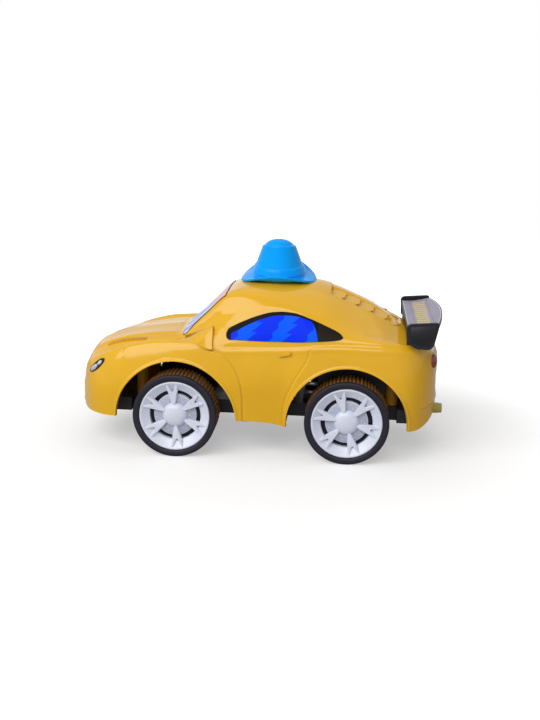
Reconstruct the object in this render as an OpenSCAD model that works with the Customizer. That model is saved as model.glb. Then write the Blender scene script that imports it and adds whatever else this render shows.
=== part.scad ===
// Toy car with a friction motor: a one-piece moulded body over a chassis tray,
// two wheel sets, a geared flywheel on the rear axle, a hat and a spoiler.
// Millimetres. The car faces -X, its left side is -Y and the ground is Z = 0.

/* [Body shell] */
// Length from the front bumper to the exhaust tip
car_l = 188; // [182:1:196]
// Width across the fenders
body_w = 80; // [77:0.5:84]
// Height of the roof
roof_z = 87.1; // [84.8:0.1:89.8]
// Height of the belt line under the side windows
belt_z = 59.1; // [56.8:0.1:60.8]
// Height of the hood at the foot of the windscreen
hood_z = 60.1; // [58.8:0.1:61.8]
// Height of the tail deck under the spoiler
deck_z = 58.1; // [56.8:0.1:59.3]
// Height of the lower edge of the shell
sill_z = 19.3; // [18.8:0.5:20.8]
// Thickness of the shell wall
wall = 2; // [1.6:0.1:2.4]
// How far the doors lie inside the fenders
door_in = 1.2; // [0.5:0.1:2]
// Gap between the tyre and the wheel arch
arch_gap = 9.3; // [7:0.1:9.5]
// How far the middle of a wheel arch lies below the axle
arch_drop = 2.7; // [0:0.1:3]
// Distance from the front axle back to the foot of the windscreen
cowl_back = 2.5; // [0:0.5:5]
// Length of the exhaust tip behind the body
exhaust_l = 3; // [2:0.5:4]
// Radius of the exhaust tip
exhaust_r = 2.5; // [2:0.1:3]
// Distance of the exhaust tip from the middle
exhaust_side = 12; // [9:0.5:15]
// Number of slats on each half of the engine lid
slats = 4; // [3:1:5]
// Rise of a slat's rear edge out of the skin
slat_lift = 0.4; // [0.3:0.1:1]

/* [Wheels] */
// Diameter of the tyre
wheel_d = 42.2; // [41:0.2:43]
// Width of the tyre
tyre_w = 17; // [15:0.5:18]
// Distance between the outer faces of the wheels
track_w = 82; // [80:0.5:86]
// Distance between the axles
wheelbase = 86; // [84:0.5:88]
// How far the middle of the wheelbase lies behind the middle of the car
axle_shift = 2.5; // [0:0.5:4]
// Number of ribs round the tread
tread_ribs = 66; // [40:1:72]
// Depth of the tread ribs
tread_depth = 0.9; // [0.5:0.1:1.2]
// Diameter of the white rim
rim_d = 35.6; // [33:0.2:36]
// Diameter of the hub disc inside the rim slots
hub_disc_d = 21.4; // [19:0.2:22]
// Diameter of the dome in the middle of the rim
dome_d = 11.8; // [10:0.2:13]
// Radial width of the slots between the hub disc and the rim ring
slot_w = 2.2; // [1.5:0.1:2.6]
// Turn of the front rims, degrees
front_turn = 35; // [0:1:59]
// Turn of the rear rims, degrees
rear_turn = 45; // [0:1:59]

/* [Axles and bearings] */
// Diameter of the wheel axles
axle_d = 3; // [2.6:0.1:3.2]
// Radial running gap of the axles in their bearings
run_gap = 0.08; // [0.04:0.01:0.1]
// Radial gap of pieces that are pushed together and do not move
seat_gap = 0.04; // [0.02:0.01:0.06]

/* [Chassis] */
// Height of the chassis floor's underside
floor_z = 23.3; // [23.3:0.1:24.3]
// Thickness of the chassis floor and skirts
floor_t = 2; // [1.6:0.1:2.4]
// Height of the lower edge of the skirts
skirt_z = 18.3; // [17.8:0.1:18.8]
// Drop of the middle pan below the skirts
pan_drop = 0.5; // [0.3:0.1:1]
// Diameter of the screw posts under the shell
post_d = 6.5; // [5.5:0.1:7]
// Diameter of the screw shanks
screw_d = 2.6; // [2.2:0.1:2.8]
// Diameter of the screw heads
screw_head_d = 5.6; // [5:0.1:6]
// Height of the screw heads
screw_head_h = 1.8; // [1.4:0.1:2]

/* [Friction motor] */
// Tooth size of the gears
gear_m = 0.6; // [0.58:0.01:0.62]
// Teeth of the two large gears
gear_teeth = 28; // [26:1:28]
// Teeth of the two pinions
pinion_teeth = 12; // [12:1:12]
// Face width of the gears
gear_w = 4; // [3.5:0.1:4.4]
// Play between the gear teeth
backlash = 0.14; // [0.1:0.01:0.2]
// Diameter of the flywheel
flywheel_d = 20; // [17:0.5:21]
// Width of the flywheel
flywheel_w = 9; // [6:0.5:9.5]
// Diameter of the idler and flywheel shafts
shaft_d = 2; // [1.6:0.1:2.4]
// Wall of the gear case
case_wall = 1.5; // [1.2:0.1:1.8]
// Inner width of the gear case
case_w = 26; // [26:0.5:28]

/* [Hat] */
// Diameter of the crown at the brim
crown_d = 28.6; // [26:0.2:30]
// Diameter of the crown at its top edge
crown_top_d = 16.4; // [14:0.2:18]
// Height of the crown's top edge above the brim
crown_h = 15.2; // [13:0.1:17]
// Rise of the domed top
crown_dome = 3.1; // [2:0.1:4]
// Length of the brim along the car
brim_l = 39; // [36:0.5:41]
// Width of the brim across the car
brim_w = 36; // [33:0.5:38]
// Height of the brim's middle above the roof
brim_lift = 1.3; // [1:0.1:3]
// Rise of the brim's sides
brim_up = 4.4; // [3:0.1:5]
// Dip of the brim's ends
brim_dip = 1; // [0.4:0.1:1.2]
// Lean of the hat towards the left side, degrees
hat_lean = 8; // [0:1:8]
// Distance of the hat from the middle of the wheelbase
hat_back = 5; // [3:0.1:8]

/* [Spoiler] */
// Width across the end plates
spoiler_w = 77; // [72:0.5:78]
// Height of the spoiler over the skin under its front edge
spoiler_lift = 6.8; // [6:0.1:9]
// Thickness of the end plates
plate_t = 2; // [1.6:0.1:2.4]
// Thickness of the blade
blade_t = 2; // [1.6:0.1:2.4]
// Bow of the blade's rear edge
blade_bow = 3.8; // [2:0.1:5]
// Depth of the blade at its ends
blade_l = 15.4; // [14:0.1:15.6]
// Thickness of the struts
strut_t = 3; // [2.5:0.1:4]

/* [Labels and lamps] */
// Thickness of the printed labels
film_t = 0.25; // [0.2:0.05:0.4]
// Diameter of the tail lamps
lamp_d = 7; // [6:0.2:7.4]
// Distance between the tail lamps
lamp_gap = 42; // [40:0.5:44]
// Height of the tail lamps
lamp_z = 50.3; // [48.8:0.1:50.8]

/* [Hidden] */
front_x = -car_l / 2;
tail_end_x = car_l / 2;
rear_x = tail_end_x - exhaust_l;
fx = axle_shift - wheelbase / 2;
rx = axle_shift + wheelbase / 2;
wheel_r = wheel_d / 2;
arch_r = wheel_r + arch_gap;
cowl_x = fx + cowl_back;
crest_x = axle_shift + 5.5;
mid_x = (front_x + rear_x) / 2;
half_l = (rear_x - front_x) / 2;
nose_x = front_x + 34;
tail = rear_x - rx;
bend_x = rear_x - 0.637 * tail;
sill_tuck = 1.5;
spans = 3;
film_gap = 0.3;
lamp_film_gap = 0.9;

axle_r = axle_d / 2;
wheel_in_y = track_w / 2 - tyre_w;
hub_len = 1.2;
web_t = 2;
rim_depth = 6;
rim_r = rim_d / 2;
slot_r = hub_disc_d / 2 + slot_w;
axle_half = track_w / 2 - rim_depth - 0.6;

floor_top = floor_z + floor_t;
spine_half = wheel_in_y - 3;
well_half = wheel_r + 4;
pan_front = fx + arch_r;
pan_rear = rx - arch_r;
pan_half = body_w / 2 - 7;
tray_front = front_x + 10;
tray_rear = rear_x - 9;
front_end_half = 24;
rear_end_half = 26;
lug_w = 5;
lug_half = 5;
post_y = spine_half - floor_t - screw_head_d / 2 - 0.4;
front_post = [fx - 20.5, post_y];
rear_post = [rx + 22.5, post_y];
posts = [for (p = [front_post, rear_post]) for (s = [-1, 1]) [p[0], s * p[1]]];
screw_len = 14;

pressure = 25;
pinion_r = gear_m * pinion_teeth / 2;
gear_r = gear_m * gear_teeth / 2;
tooth_add = 0.8 * gear_m;
tooth_ded = gear_m;
gear_dist = gear_r + pinion_r;
idler_dir = 110;
fly_dir = 30;
axle_c = [rx, wheel_r];
idler_c = axle_c + gear_dist * [cos(idler_dir), sin(idler_dir)];
fly_c = idler_c + gear_dist * [cos(fly_dir), sin(fly_dir)];
case_in = case_w / 2;
case_out = case_in + case_wall;
first_y = -10;
second_y = first_y + gear_w + 2;
fly_y = second_y + gear_w + 2;
split_y = fly_y - 1;
gear_room = 1.3;
case_lo = [idler_c[0] - gear_r - gear_room - 0.5, axle_c[1] - gear_r - gear_room - 0.5];
case_hi = [fly_c[0] + flywheel_d / 2 + gear_room, fly_c[1] + flywheel_d / 2 + gear_room];
corner_r = 2.6;
case_screw_r = 0.9;
corners = [
    [case_lo[0] + 1, case_lo[1] + 1],
    [case_hi[0] - 1, case_lo[1] + 1],
    [case_lo[0] + 1, case_hi[1] - 1],
    [case_hi[0] - 1, case_hi[1] - 1]
];
ear_l = 7;
ear_t = 2.5;
ear_half = 3.6;
ear_y = post_y - post_d / 2 - ear_half - 0.5;
ears = [
    for (s = [-1, 1])
    for (x = [case_lo[0] - case_wall - ear_l / 2, case_hi[0] + case_wall + ear_l / 2])
    [x, s * ear_y]
];

hat_x = axle_shift + hat_back;
brim_z = roof_z + brim_lift;
brim_t = 1.3;
crown_wall = 1.6;
hat_post_d = 10;
stem_d = 5;
stem_drop = 8;
hat_screw_d = 2.2;

slat_x0 = crest_x + 27.5;
slat_x1 = rx + 12;
slat_l = 0.93 * (slat_x1 - slat_x0) / (slats - 1);
slat_in = 4.5;
slat_out = 14;

plate_x = rear_x - 0.404 * tail;
plate_y = spoiler_w / 2 - plate_t;
strut_y = plate_y - 6.5;
peg_d = 2.8;
peg_x = plate_x + 5;
blade_bow_r = (pow(plate_y, 2) + pow(blade_bow, 2)) / (2 * blade_bow);
blade_rear = plate_x + blade_l + blade_bow;

// Smooth curve through the rows of a table: column 0 is x, column c the value
function rise(k, c, i) = (k[i + 1][c] - k[i][c]) / (k[i + 1][0] - k[i][0]);
function slope(k, c, i) =
    i == 0 ? rise(k, c, 0) :
    i == len(k) - 1 ? rise(k, c, i - 1) :
    rise(k, c, i - 1) * rise(k, c, i) <= 0 ? 0 :
    2 / (1 / rise(k, c, i - 1) + 1 / rise(k, c, i));
function row_at(x, k, i = 0) =
    i >= len(k) - 2 || x < k[i + 1][0] ? i : row_at(x, k, i + 1);
function curve(x, k, c = 1) =
    let (i = row_at(x, k), h = k[i + 1][0] - k[i][0], t = (x - k[i][0]) / h)
    (2 * pow(t, 3) - 3 * pow(t, 2) + 1) * k[i][c]
    + (pow(t, 3) - 2 * pow(t, 2) + t) * h * slope(k, c, i)
    + (3 * pow(t, 2) - 2 * pow(t, 3)) * k[i + 1][c]
    + (pow(t, 3) - pow(t, 2)) * h * slope(k, c, i + 1);
function mix(a, b, t) = a * (1 - t) + b * t;

// Lines of the body. Each row holds x, lower edge, inset of the shoulder, height
// of the shoulder, height of the middle, then width and rise of the two points
// between them, as parts of the shoulder's width and of the rise to the middle
lines = [
    [front_x, sill_z + 0.3, 2, belt_z - 31, hood_z - 29.6, 0.8, 0.45, 0.55, 0.75],
    [front_x + 3, sill_z, 3, belt_z - 21, hood_z - 17, 0.8, 0.4, 0.56, 0.7],
    [front_x + 6.5, sill_z - 0.5, 4, belt_z - 15.8, hood_z - 12, 0.8, 0.25, 0.56, 0.65],
    [front_x + 14, sill_z - 0.5, 5, belt_z - 11.1, hood_z - 7.9, 0.79, -0.02, 0.55, 0.72],
    [fx - 25, sill_z, 5.5, belt_z - 5, hood_z - 3.7, 0.78, -0.35, 0.57, 0.72],
    [fx - 11, sill_z + 0.5, 5.5, belt_z - 2, hood_z - 1.4, 0.77, -0.4, 0.58, 0.7],
    [cowl_x - 3.5, sill_z + 1, 5, belt_z - 1.5, hood_z - 0.1, 0.76, -0.25, 0.61, 0.66],
    [cowl_x, sill_z + 1, 4.5, belt_z - 1.8, hood_z + 1.6, 0.74, 0.2, 0.63, 0.8],
    [cowl_x + 10.5, sill_z + 1, 4, belt_z - 1.2, roof_z - 15.6, 0.715, 0.56, 0.625, 0.9],
    [cowl_x + 21, sill_z + 0.5, 3.6, belt_z - 0.6, roof_z - 5.6, 0.745, 0.58, 0.61, 0.93],
    [crest_x - 14, sill_z, 3.2, belt_z, roof_z - 1.2, 0.795, 0.56, 0.64, 0.86],
    [crest_x, sill_z - 0.8, 3, belt_z + 0.3, roof_z, 0.84, 0.54, 0.66, 0.81],
    [crest_x + 20, sill_z - 2, 3, belt_z + 0.8, roof_z - 1.3, 0.825, 0.47, 0.61, 0.76],
    [rx + 0.1 * tail, sill_z - 2, 3.2, belt_z + 1.2, roof_z - 8.6, 0.8, 0.35, 0.6, 0.6],
    [rx + 0.32 * tail, sill_z - 2, 3.2, belt_z + 1, roof_z - 13.8, 0.81, 0.26, 0.61, 0.54],
    [rx + 0.516 * tail, sill_z - 2, 3.5, belt_z + 0.3, roof_z - 19.6, 0.83, 0.18, 0.63, 0.43],
    [rear_x - 0.264 * tail, sill_z - 2, 3.5, belt_z - 1, deck_z + 3.5, 0.82, 0.2, 0.6, 0.5],
    [rear_x - 0.11 * tail, sill_z + 0.5, 3.5, belt_z - 4, deck_z, 0.8, 0.3, 0.56, 0.55],
    [rear_x, sill_z + 5, 2.2, belt_z - 10, deck_z - 6, 0.8, 0.45, 0.55, 0.75]
];
door_line = [
    [front_x, 0], [fx + 20, 0], [fx + 34, 1], [rx - 34, 1], [rx - 20, 0], [rear_x, 0]
];

// Half width of the body in plan
function plan(x) =
    x < nose_x ? pow(1 - pow((nose_x - x) / (nose_x - front_x + 0.5), 2.6), 1 / 2.2) :
    x > bend_x ? pow(1 - pow((x - bend_x) / (rear_x - bend_x + 0.5), 3), 1 / 2.2) : 1;
function half_w(x) = plan(x) * (body_w / 2 - door_in * curve(x, door_line));

// Guide points of a half section, from the lower edge up to the middle, moved
// inwards by s
function guide(x, s) =
    let (
        w = half_w(x),
        low = curve(x, lines, 1),
        by = w - curve(x, lines, 2),
        bz = curve(x, lines, 3),
        tz = curve(x, lines, 4),
        uy = by * curve(x, lines, 5),
        uz = mix(bz, tz, curve(x, lines, 6)),
        ey = by * curve(x, lines, 7),
        ez = mix(bz, tz, curve(x, lines, 8)),
        edge = [ey - 0.45 * s, ez - 0.9 * s],
        top = [0, tz - s]
    )
    [
        [w - sill_tuck * plan(x) - s, low],
        [w - s, mix(low, bz, 0.52)],
        [by - 0.85 * s, bz - 0.45 * s],
        [uy - 0.7 * s, uz - 0.7 * s],
        edge,
        [edge[0] * 0.55, mix(edge[1], top[1], 0.72)],
        top
    ];
function spline(a, b, c, d, t) =
    0.5 * (2 * b + (c - a) * t + (2 * a - 5 * b + 4 * c - d) * pow(t, 2)
    + (3 * b - a - 3 * c + d) * pow(t, 3));
function half(x, s = 0) =
    let (g = guide(x, s), n = len(g))
    [
        for (i = [0 : n - 2])
        for (k = [0 : spans - 1])
        let (after = i + 2 < n ? g[i + 2] : [-g[n - 2][0], g[n - 2][1]])
        spline(g[max(i - 1, 0)], g[i], g[i + 1], after, k / spans),
        g[n - 1]
    ];
function ring(x, s) =
    let (h = half(x, s), n = len(h), sx = mid_x + (x - mid_x) * (1 - s / half_l))
    [
        for (j = [0 : n - 1]) [sx, -h[j][0], h[j][1]],
        for (j = [n - 2 : -1 : 0]) [sx, h[j][0], h[j][1]]
    ];

xs = [
    for (d = [0, 0.5, 1.5, 3, 5, 8, 11.5, 15.5]) front_x + d,
    for (k = [1 : 6]) mix(front_x + 15.5, cowl_x - 4, k / 6),
    for (k = [1 : 9]) mix(cowl_x - 4, cowl_x + 23, k / 9),
    for (k = [1 : 12]) mix(cowl_x + 23, rear_x - 13, k / 12),
    for (d = [9, 6, 3.8, 2.2, 1, 0.3, 0]) rear_x - d
];
halves = [for (x = xs) half(x)];
rows = len(xs);
cols = 2 * len(halves[0]) - 1;

function skin_faces(o) = [
    for (i = [0 : rows - 2])
    for (j = [0 : cols - 2])
    let (a = o + i * cols + j, b = a + cols)
    each (j < (cols - 1) / 2 ?
        [[a, a + 1, b + 1], [a, b + 1, b]] :
        [[a, a + 1, b], [a + 1, b + 1, b]])
];
function flipped(f) = [for (t = f) [for (i = [len(t) - 1 : -1 : 0]) t[i]]];
function front_cap(o) = [for (j = [cols - 1 : -1 : 0]) o + j];
function rear_cap(o) = [for (j = [0 : cols - 1]) o + (rows - 1) * cols + j];

// Solid inside the surface that lies s inside the outer skin
module loft(s) {
    points = [for (x = xs) each ring(x, s)];
    base = [
        for (i = [0 : rows - 2])
        let (a = i * cols, b = a + cols)
        [a, b, b + cols - 1, a + cols - 1]
    ];
    polyhedron(points, concat(skin_faces(0), [front_cap(0), rear_cap(0)], base));
}

// Skin of the body: an outer and an inner surface joined along the lower edge
module skin() {
    points = [for (s = [0, wall]) for (x = xs) each ring(x, s)];
    o = rows * cols;
    e = cols - 1;
    r = (rows - 1) * cols;
    rim = [
        for (i = [0 : rows - 2])
        let (a = i * cols, b = a + cols)
        each [
            [a, b, b + o], [a, b + o, a + o],
            [a + e, a + e + o, b + e + o], [a + e, b + e + o, b + e]
        ]
    ];
    ends = [[0, o, o + e, e], [r, r + e, r + e + o, r + o]];
    polyhedron(points, concat(
        skin_faces(0), [front_cap(0), rear_cap(0)],
        flipped(skin_faces(o)), flipped([front_cap(o), rear_cap(o)]),
        rim, ends
    ));
}

// Distance from the middle plane to the skin at x and z, and height at x and y
function between(x) = row_at(x, [for (v = xs) [v]]);
function skin_at(x, v, from, to) =
    let (i = between(x), t = (x - xs[i]) / (xs[i + 1] - xs[i]))
    mix(
        lookup(v, [for (p = halves[i]) [p[from], p[to]]]),
        lookup(v, [for (p = halves[i + 1]) [p[from], p[to]]]),
        t
    );
function skin_y(x, z) = skin_at(x, z, 1, 0);
function skin_z(x, y) = skin_at(x, abs(y), 0, 1);

// Heights of the spoiler's top and of its blade, over the skin
spoiler_z = skin_z(plate_x, 0) + spoiler_lift;
blade_z = spoiler_z - 2.2;

module bar_y(c, r, y0, y1) {
    translate([c[0], y1, c[1]])
        rotate([90, 0, 0])
            cylinder(r = r, h = y1 - y0, $fn = 48);
}

module slab_y(y0, y1) {
    translate([0, y1, 0])
        rotate([90, 0, 0])
            linear_extrude(y1 - y0)
                children();
}

module both_sides() {
    children();
    mirror([0, 1, 0])
        children();
}

// Wedge-shaped mirror: a tall rear face that runs out to a tip beside the windscreen
module mirror_pod() {
    rear = cowl_x + 15.3;
    mid = cowl_x + 8;
    tip = cowl_x + 1;
    low = belt_z - 1;
    high = belt_z + 6.6;
    out = body_w / 2;
    polyhedron(
        [
            [rear, -out + 2.9, low - 3.2], [rear, -skin_y(rear, low - 1) + wall / 2, low - 1],
            [rear, -skin_y(rear, high) + wall / 2, high], [rear, -out + 7.2, high],
            [mid - 1, -out + 5.4, low], [tip, -skin_y(tip, belt_z + 0.4) + 0.3, belt_z + 0.4],
            [mid, -skin_y(mid, low) + wall / 2, low]
        ],
        [
            [3, 2, 1, 0], [4, 3, 0], [5, 3, 4], [2, 3, 5], [6, 2, 5], [1, 2, 6],
            [6, 5, 4], [1, 6, 4], [0, 1, 4]
        ]
    );
}

// One slat of the engine lid, rising to its rear end out of the left half of the skin
module slat(x) {
    near = -slat_out;
    far = -slat_in;
    x1 = x + slat_l;
    polyhedron(
        [
            [x, near, skin_z(x, near) - wall / 2], [x1, near, skin_z(x1, near) - wall / 2],
            [x1, far, skin_z(x1, far) - wall / 2], [x, far, skin_z(x, far) - wall / 2],
            [x, near, skin_z(x, near)], [x1, near, skin_z(x1, near) + slat_lift],
            [x1, far, skin_z(x1, far) + slat_lift], [x, far, skin_z(x, far)]
        ],
        [
            [0, 1, 2], [0, 2, 3], [4, 6, 5], [4, 7, 6], [0, 5, 1], [0, 4, 5],
            [1, 6, 2], [1, 5, 6], [2, 7, 3], [2, 6, 7], [3, 4, 0], [3, 7, 4]
        ]
    );
}

module exhaust_tip() {
    translate([rear_x - wall - 1, -exhaust_side, sill_z + 4])
        rotate([0, 90, 0])
            cylinder(r = exhaust_r, h = tail_end_x - rear_x + wall + 1, $fn = 32);
}

module lamp_place() {
    translate([rear_x - 7, -lamp_gap / 2, lamp_z])
        rotate([0, 90, 0])
            children();
}

module body_shell() {
    color("gold")
        difference() {
            union() {
                skin();
                both_sides() {
                    mirror_pod();
                    for (i = [0 : slats - 1])
                        slat(mix(slat_x0, slat_x1, i / (slats - 1)));
                }
                exhaust_tip();
                intersection() {
                    for (p = posts)
                        translate([p[0], p[1], floor_top])
                            cylinder(d = post_d, h = roof_z - floor_top, $fn = 40);
                    loft(wall / 2);
                }
            }
            for (x = [fx, rx])
                both_sides()
                    bar_y([x, wheel_r - arch_drop], arch_r, -body_w, -spine_half - 1.5);
            for (p = posts)
                translate([p[0], p[1], floor_top - 1])
                    cylinder(d = screw_d + 2 * seat_gap, h = screw_len, $fn = 32);
            translate([hat_x, 0, roof_z - stem_drop])
                cylinder(d = stem_d + 2 * seat_gap, h = 2 * stem_drop, $fn = 40);
            both_sides() {
                translate([peg_x, strut_y, belt_z - 8])
                    cylinder(d = peg_d + 2 * seat_gap, h = 20, $fn = 32);
                lamp_place()
                    cylinder(d = lamp_d + 2 * seat_gap, h = 12, $fn = 48);
            }
        }
}

module tray_plan(s) {
    translate([tray_front + s, -spine_half + s])
        square([tray_rear - tray_front - 2 * s, 2 * (spine_half - s)]);
    translate([tray_front + s, -front_end_half + s])
        square([fx - well_half - tray_front - 2 * s, 2 * (front_end_half - s)]);
    translate([rx + well_half + s, -rear_end_half + s])
        square([tray_rear - rx - well_half - 2 * s, 2 * (rear_end_half - s)]);
    translate([pan_front + s, -pan_half + s])
        square([pan_rear - pan_front - 2 * s, 2 * (pan_half - s)]);
}

module case_outline(s) {
    translate([case_lo[0] - s, case_lo[1] - s])
        square(case_hi - case_lo + [2 * s, 2 * s]);
}

module chassis() {
    color("dimgray")
        difference() {
            union() {
                translate([0, 0, floor_z])
                    linear_extrude(floor_t)
                        tray_plan(0);
                translate([0, 0, skirt_z])
                    linear_extrude(floor_top - skirt_z)
                        difference() {
                            tray_plan(0);
                            tray_plan(floor_t);
                        }
                translate([pan_front, -pan_half, skirt_z - pan_drop])
                    cube([pan_rear - pan_front, 2 * pan_half, floor_t]);
                for (x = [fx, rx])
                    for (y = [-spine_half, spine_half - lug_w])
                        translate([x - lug_half, y, skirt_z])
                            cube([2 * lug_half, lug_w, floor_top - skirt_z]);
            }
            for (x = [fx, rx])
                bar_y([x, wheel_r], axle_r + run_gap, -body_w, body_w);
            slab_y(-case_out - 0.4, case_out + 0.4)
                case_outline(case_wall + 0.4);
            for (p = concat(posts, ears))
                translate([p[0], p[1], floor_z - 1])
                    cylinder(d = screw_d + 2 * seat_gap, h = floor_t + 2, $fn = 32);
        }
}

module screw_up(len) {
    translate([0, 0, -screw_head_h]) {
        difference() {
            cylinder(d = screw_head_d, h = screw_head_h, $fn = 32);
            for (a = [0, 90])
                rotate(a)
                    translate([-screw_head_d / 3, -0.35, -1])
                        cube([2 * screw_head_d / 3, 0.7, 1.9]);
        }
        translate([0, 0, screw_head_h - 0.2])
            cylinder(d = screw_d, h = len + 0.2, $fn = 32);
    }
}

module body_screws() {
    color("silver")
        for (p = posts)
            translate([p[0], p[1], floor_z])
                screw_up(floor_t + screw_len - 2);
}

// Thin label over the left side of the skin, gap away from it: g[c][r] holds x and z
module film(g, gap) {
    n = len(g);
    m = len(g[0]);
    points = [
        for (d = [gap, gap + film_t])
        for (col = g)
        for (p = col)
        [p[0], -skin_y(p[0], p[1]) - d, p[1]]
    ];
    o = n * m;
    sheet = [
        for (i = [0 : n - 2])
        for (j = [0 : m - 2])
        let (a = i * m + j, b = a + m)
        each [[a, b, b + 1], [a, b + 1, a + 1]]
    ];
    top = [for (t = sheet) [t[0] + o, t[2] + o, t[1] + o]];
    edges = concat(
        [for (i = [0 : n - 2]) [i * m, (i + 1) * m]],
        [for (j = [0 : m - 2]) [(n - 1) * m + j, (n - 1) * m + j + 1]],
        [for (i = [n - 1 : -1 : 1]) [i * m + m - 1, i * m - 1]],
        [for (j = [m - 1 : -1 : 1]) [j, j - 1]]
    );
    sides = [
        for (e = edges)
        each [[e[0], e[1] + o, e[1]], [e[0], e[0] + o, e[1] + o]]
    ];
    polyhedron(points, concat(sheet, top, sides));
}

window_top = [
    [-18, belt_z + 3.6], [-16.6, belt_z + 6.8], [-4.8, belt_z + 12], [5, belt_z + 15.2],
    [14.8, belt_z + 15], [23.8, belt_z + 12.2], [32, belt_z + 8.6], [38.2, belt_z + 5.6],
    [39.6, belt_z + 4.4]
];
window_low = [
    [-18, belt_z + 1.8], [14, belt_z + 1.4], [28, belt_z + 2], [39.6, belt_z + 3.4]
];

module side_window() {
    n = 18;
    film([
        for (c = [0 : n])
        let (x = mix(window_top[0][0], window_top[len(window_top) - 1][0], c / n))
        [
            for (r = [0 : 5])
            [axle_shift + x, mix(curve(x, window_low), curve(x, window_top), r / 5)]
        ]
    ], film_gap);
}

module window_label_left() {
    color("steelblue")
        side_window();
}

module window_label_right() {
    color("steelblue")
        mirror([0, 1, 0])
            side_window();
}

module headlamp() {
    n = 12;
    long_r = 4.9;
    short_r = 2.3;
    tilt = 42;
    film([
        for (c = [0 : n])
        let (t = mix(-0.97, 0.97, c / n), u = long_r * t, v = short_r * sqrt(1 - t * t))
        [
            for (r = [0 : 4])
            let (w = mix(-v, v, r / 4))
            [
                front_x + 11.8 + u * cos(tilt) - w * sin(tilt),
                belt_z - 17.4 + u * sin(tilt) + w * cos(tilt)
            ]
        ]
    ], lamp_film_gap);
}

module headlamp_left() {
    color("lightgray")
        headlamp();
}

module headlamp_right() {
    color("lightgray")
        mirror([0, 1, 0])
            headlamp();
}

// The windscreen label copies the skin's own points, moved out along the slope
module windscreen_label() {
    lean = atan2(roof_z - hood_z - 8, 21);
    first = 4 * spans;
    last = cols - 1 - first;
    m = last - first + 1;
    used = [for (x = xs) if (x > cowl_x + 1 && x < cowl_x + 21) ring(x, 0)];
    n = len(used);
    points = [
        for (d = [film_gap, film_gap + film_t])
        for (s = used)
        for (j = [first : last])
        s[j] + d * [-sin(lean), 0, cos(lean)]
    ];
    o = n * m;
    sheet = [
        for (i = [0 : n - 2])
        for (j = [0 : m - 2])
        let (a = i * m + j, b = a + m)
        each (j < (m - 1) / 2 ?
            [[a, b + 1, a + 1], [a, b, b + 1]] :
            [[a, b, a + 1], [a + 1, b, b + 1]])
    ];
    top = [for (t = sheet) [t[0] + o, t[2] + o, t[1] + o]];
    edges = concat(
        [for (i = [0 : n - 2]) [i * m, (i + 1) * m]],
        [for (j = [0 : m - 2]) [(n - 1) * m + j, (n - 1) * m + j + 1]],
        [for (i = [n - 1 : -1 : 1]) [i * m + m - 1, i * m - 1]],
        [for (j = [m - 1 : -1 : 1]) [j, j - 1]]
    );
    sides = [
        for (e = edges)
        each [[e[0], e[1] + o, e[1]], [e[0], e[0] + o, e[1] + o]]
    ];
    color("lightsteelblue")
        polyhedron(points, concat(sheet, top, sides));
}

module tail_lamp() {
    lens_r = lamp_d / 2;
    lamp_place()
        rotate_extrude($fn = 48)
            polygon([
                [0, 0], [lens_r, 0], [lens_r, 5.2], [lens_r - 0.8, 5.9],
                [lens_r / 2, 6.3], [0, 6.4]
            ]);
}

module tail_lamp_left() {
    color("firebrick")
        tail_lamp();
}

module tail_lamp_right() {
    color("firebrick")
        mirror([0, 1, 0])
            tail_lamp();
}

module crown_profile(full) {
    r0 = crown_d / 2;
    r1 = crown_top_d / 2;
    lo = 2.2;
    hi = 6.8;
    band = 0.6;
    outer = [
        [r0, -brim_t / 2],
        [mix(r0, r1, lo / crown_h), lo],
        [mix(r0, r1, lo / crown_h) + band, lo + 0.2],
        [mix(r0, r1, hi / crown_h) + band, hi - 0.2],
        [mix(r0, r1, hi / crown_h), hi],
        [r1, crown_h],
        [r1 * 0.68, crown_h + crown_dome * 0.68],
        [r1 * 0.3, crown_h + crown_dome * 0.95],
        [0, crown_h + crown_dome]
    ];
    hollow = [
        [0, crown_h + crown_dome - crown_wall],
        [r1 - crown_wall, crown_h - crown_wall / 2],
        [r0 - crown_wall, -brim_t / 2]
    ];
    polygon(concat(outer, full ? [[0, -brim_t / 2]] : hollow));
}

// Saddle-shaped brim: low at the ends, rising to the sides
module brim() {
    n = 48;
    steps = 4;
    m = 2 * (steps + 1);
    r0 = crown_d / 2 - 1;
    points = [
        for (i = [0 : n - 1])
        let (
            a = 360 * i / n,
            re = 1 / norm([2 * cos(a) / brim_l, 2 * sin(a) / brim_w]),
            lip = brim_up * pow(sin(a), 2) - brim_dip * pow(cos(a), 2)
        )
        for (k = [0 : m - 1])
        let (
            t = k <= steps ? k / steps : (m - 1 - k) / steps,
            r = mix(r0, re, t),
            h = k <= steps ? -brim_t / 2 : brim_t / 2
        )
        [r * cos(a), r * sin(a), lip * pow(t, 2) + h]
    ];
    faces = [
        for (i = [0 : n - 1])
        for (k = [0 : m - 1])
        let (
            a = i * m + k, b = i * m + (k + 1) % m,
            c = ((i + 1) % n) * m + (k + 1) % m, d = ((i + 1) % n) * m + k
        )
        each [[a, b, c], [a, c, d]]
    ];
    polyhedron(points, faces);
}

module hat_place() {
    translate([hat_x, 0, brim_z])
        rotate([hat_lean, 0, 0])
            children();
}

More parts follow.
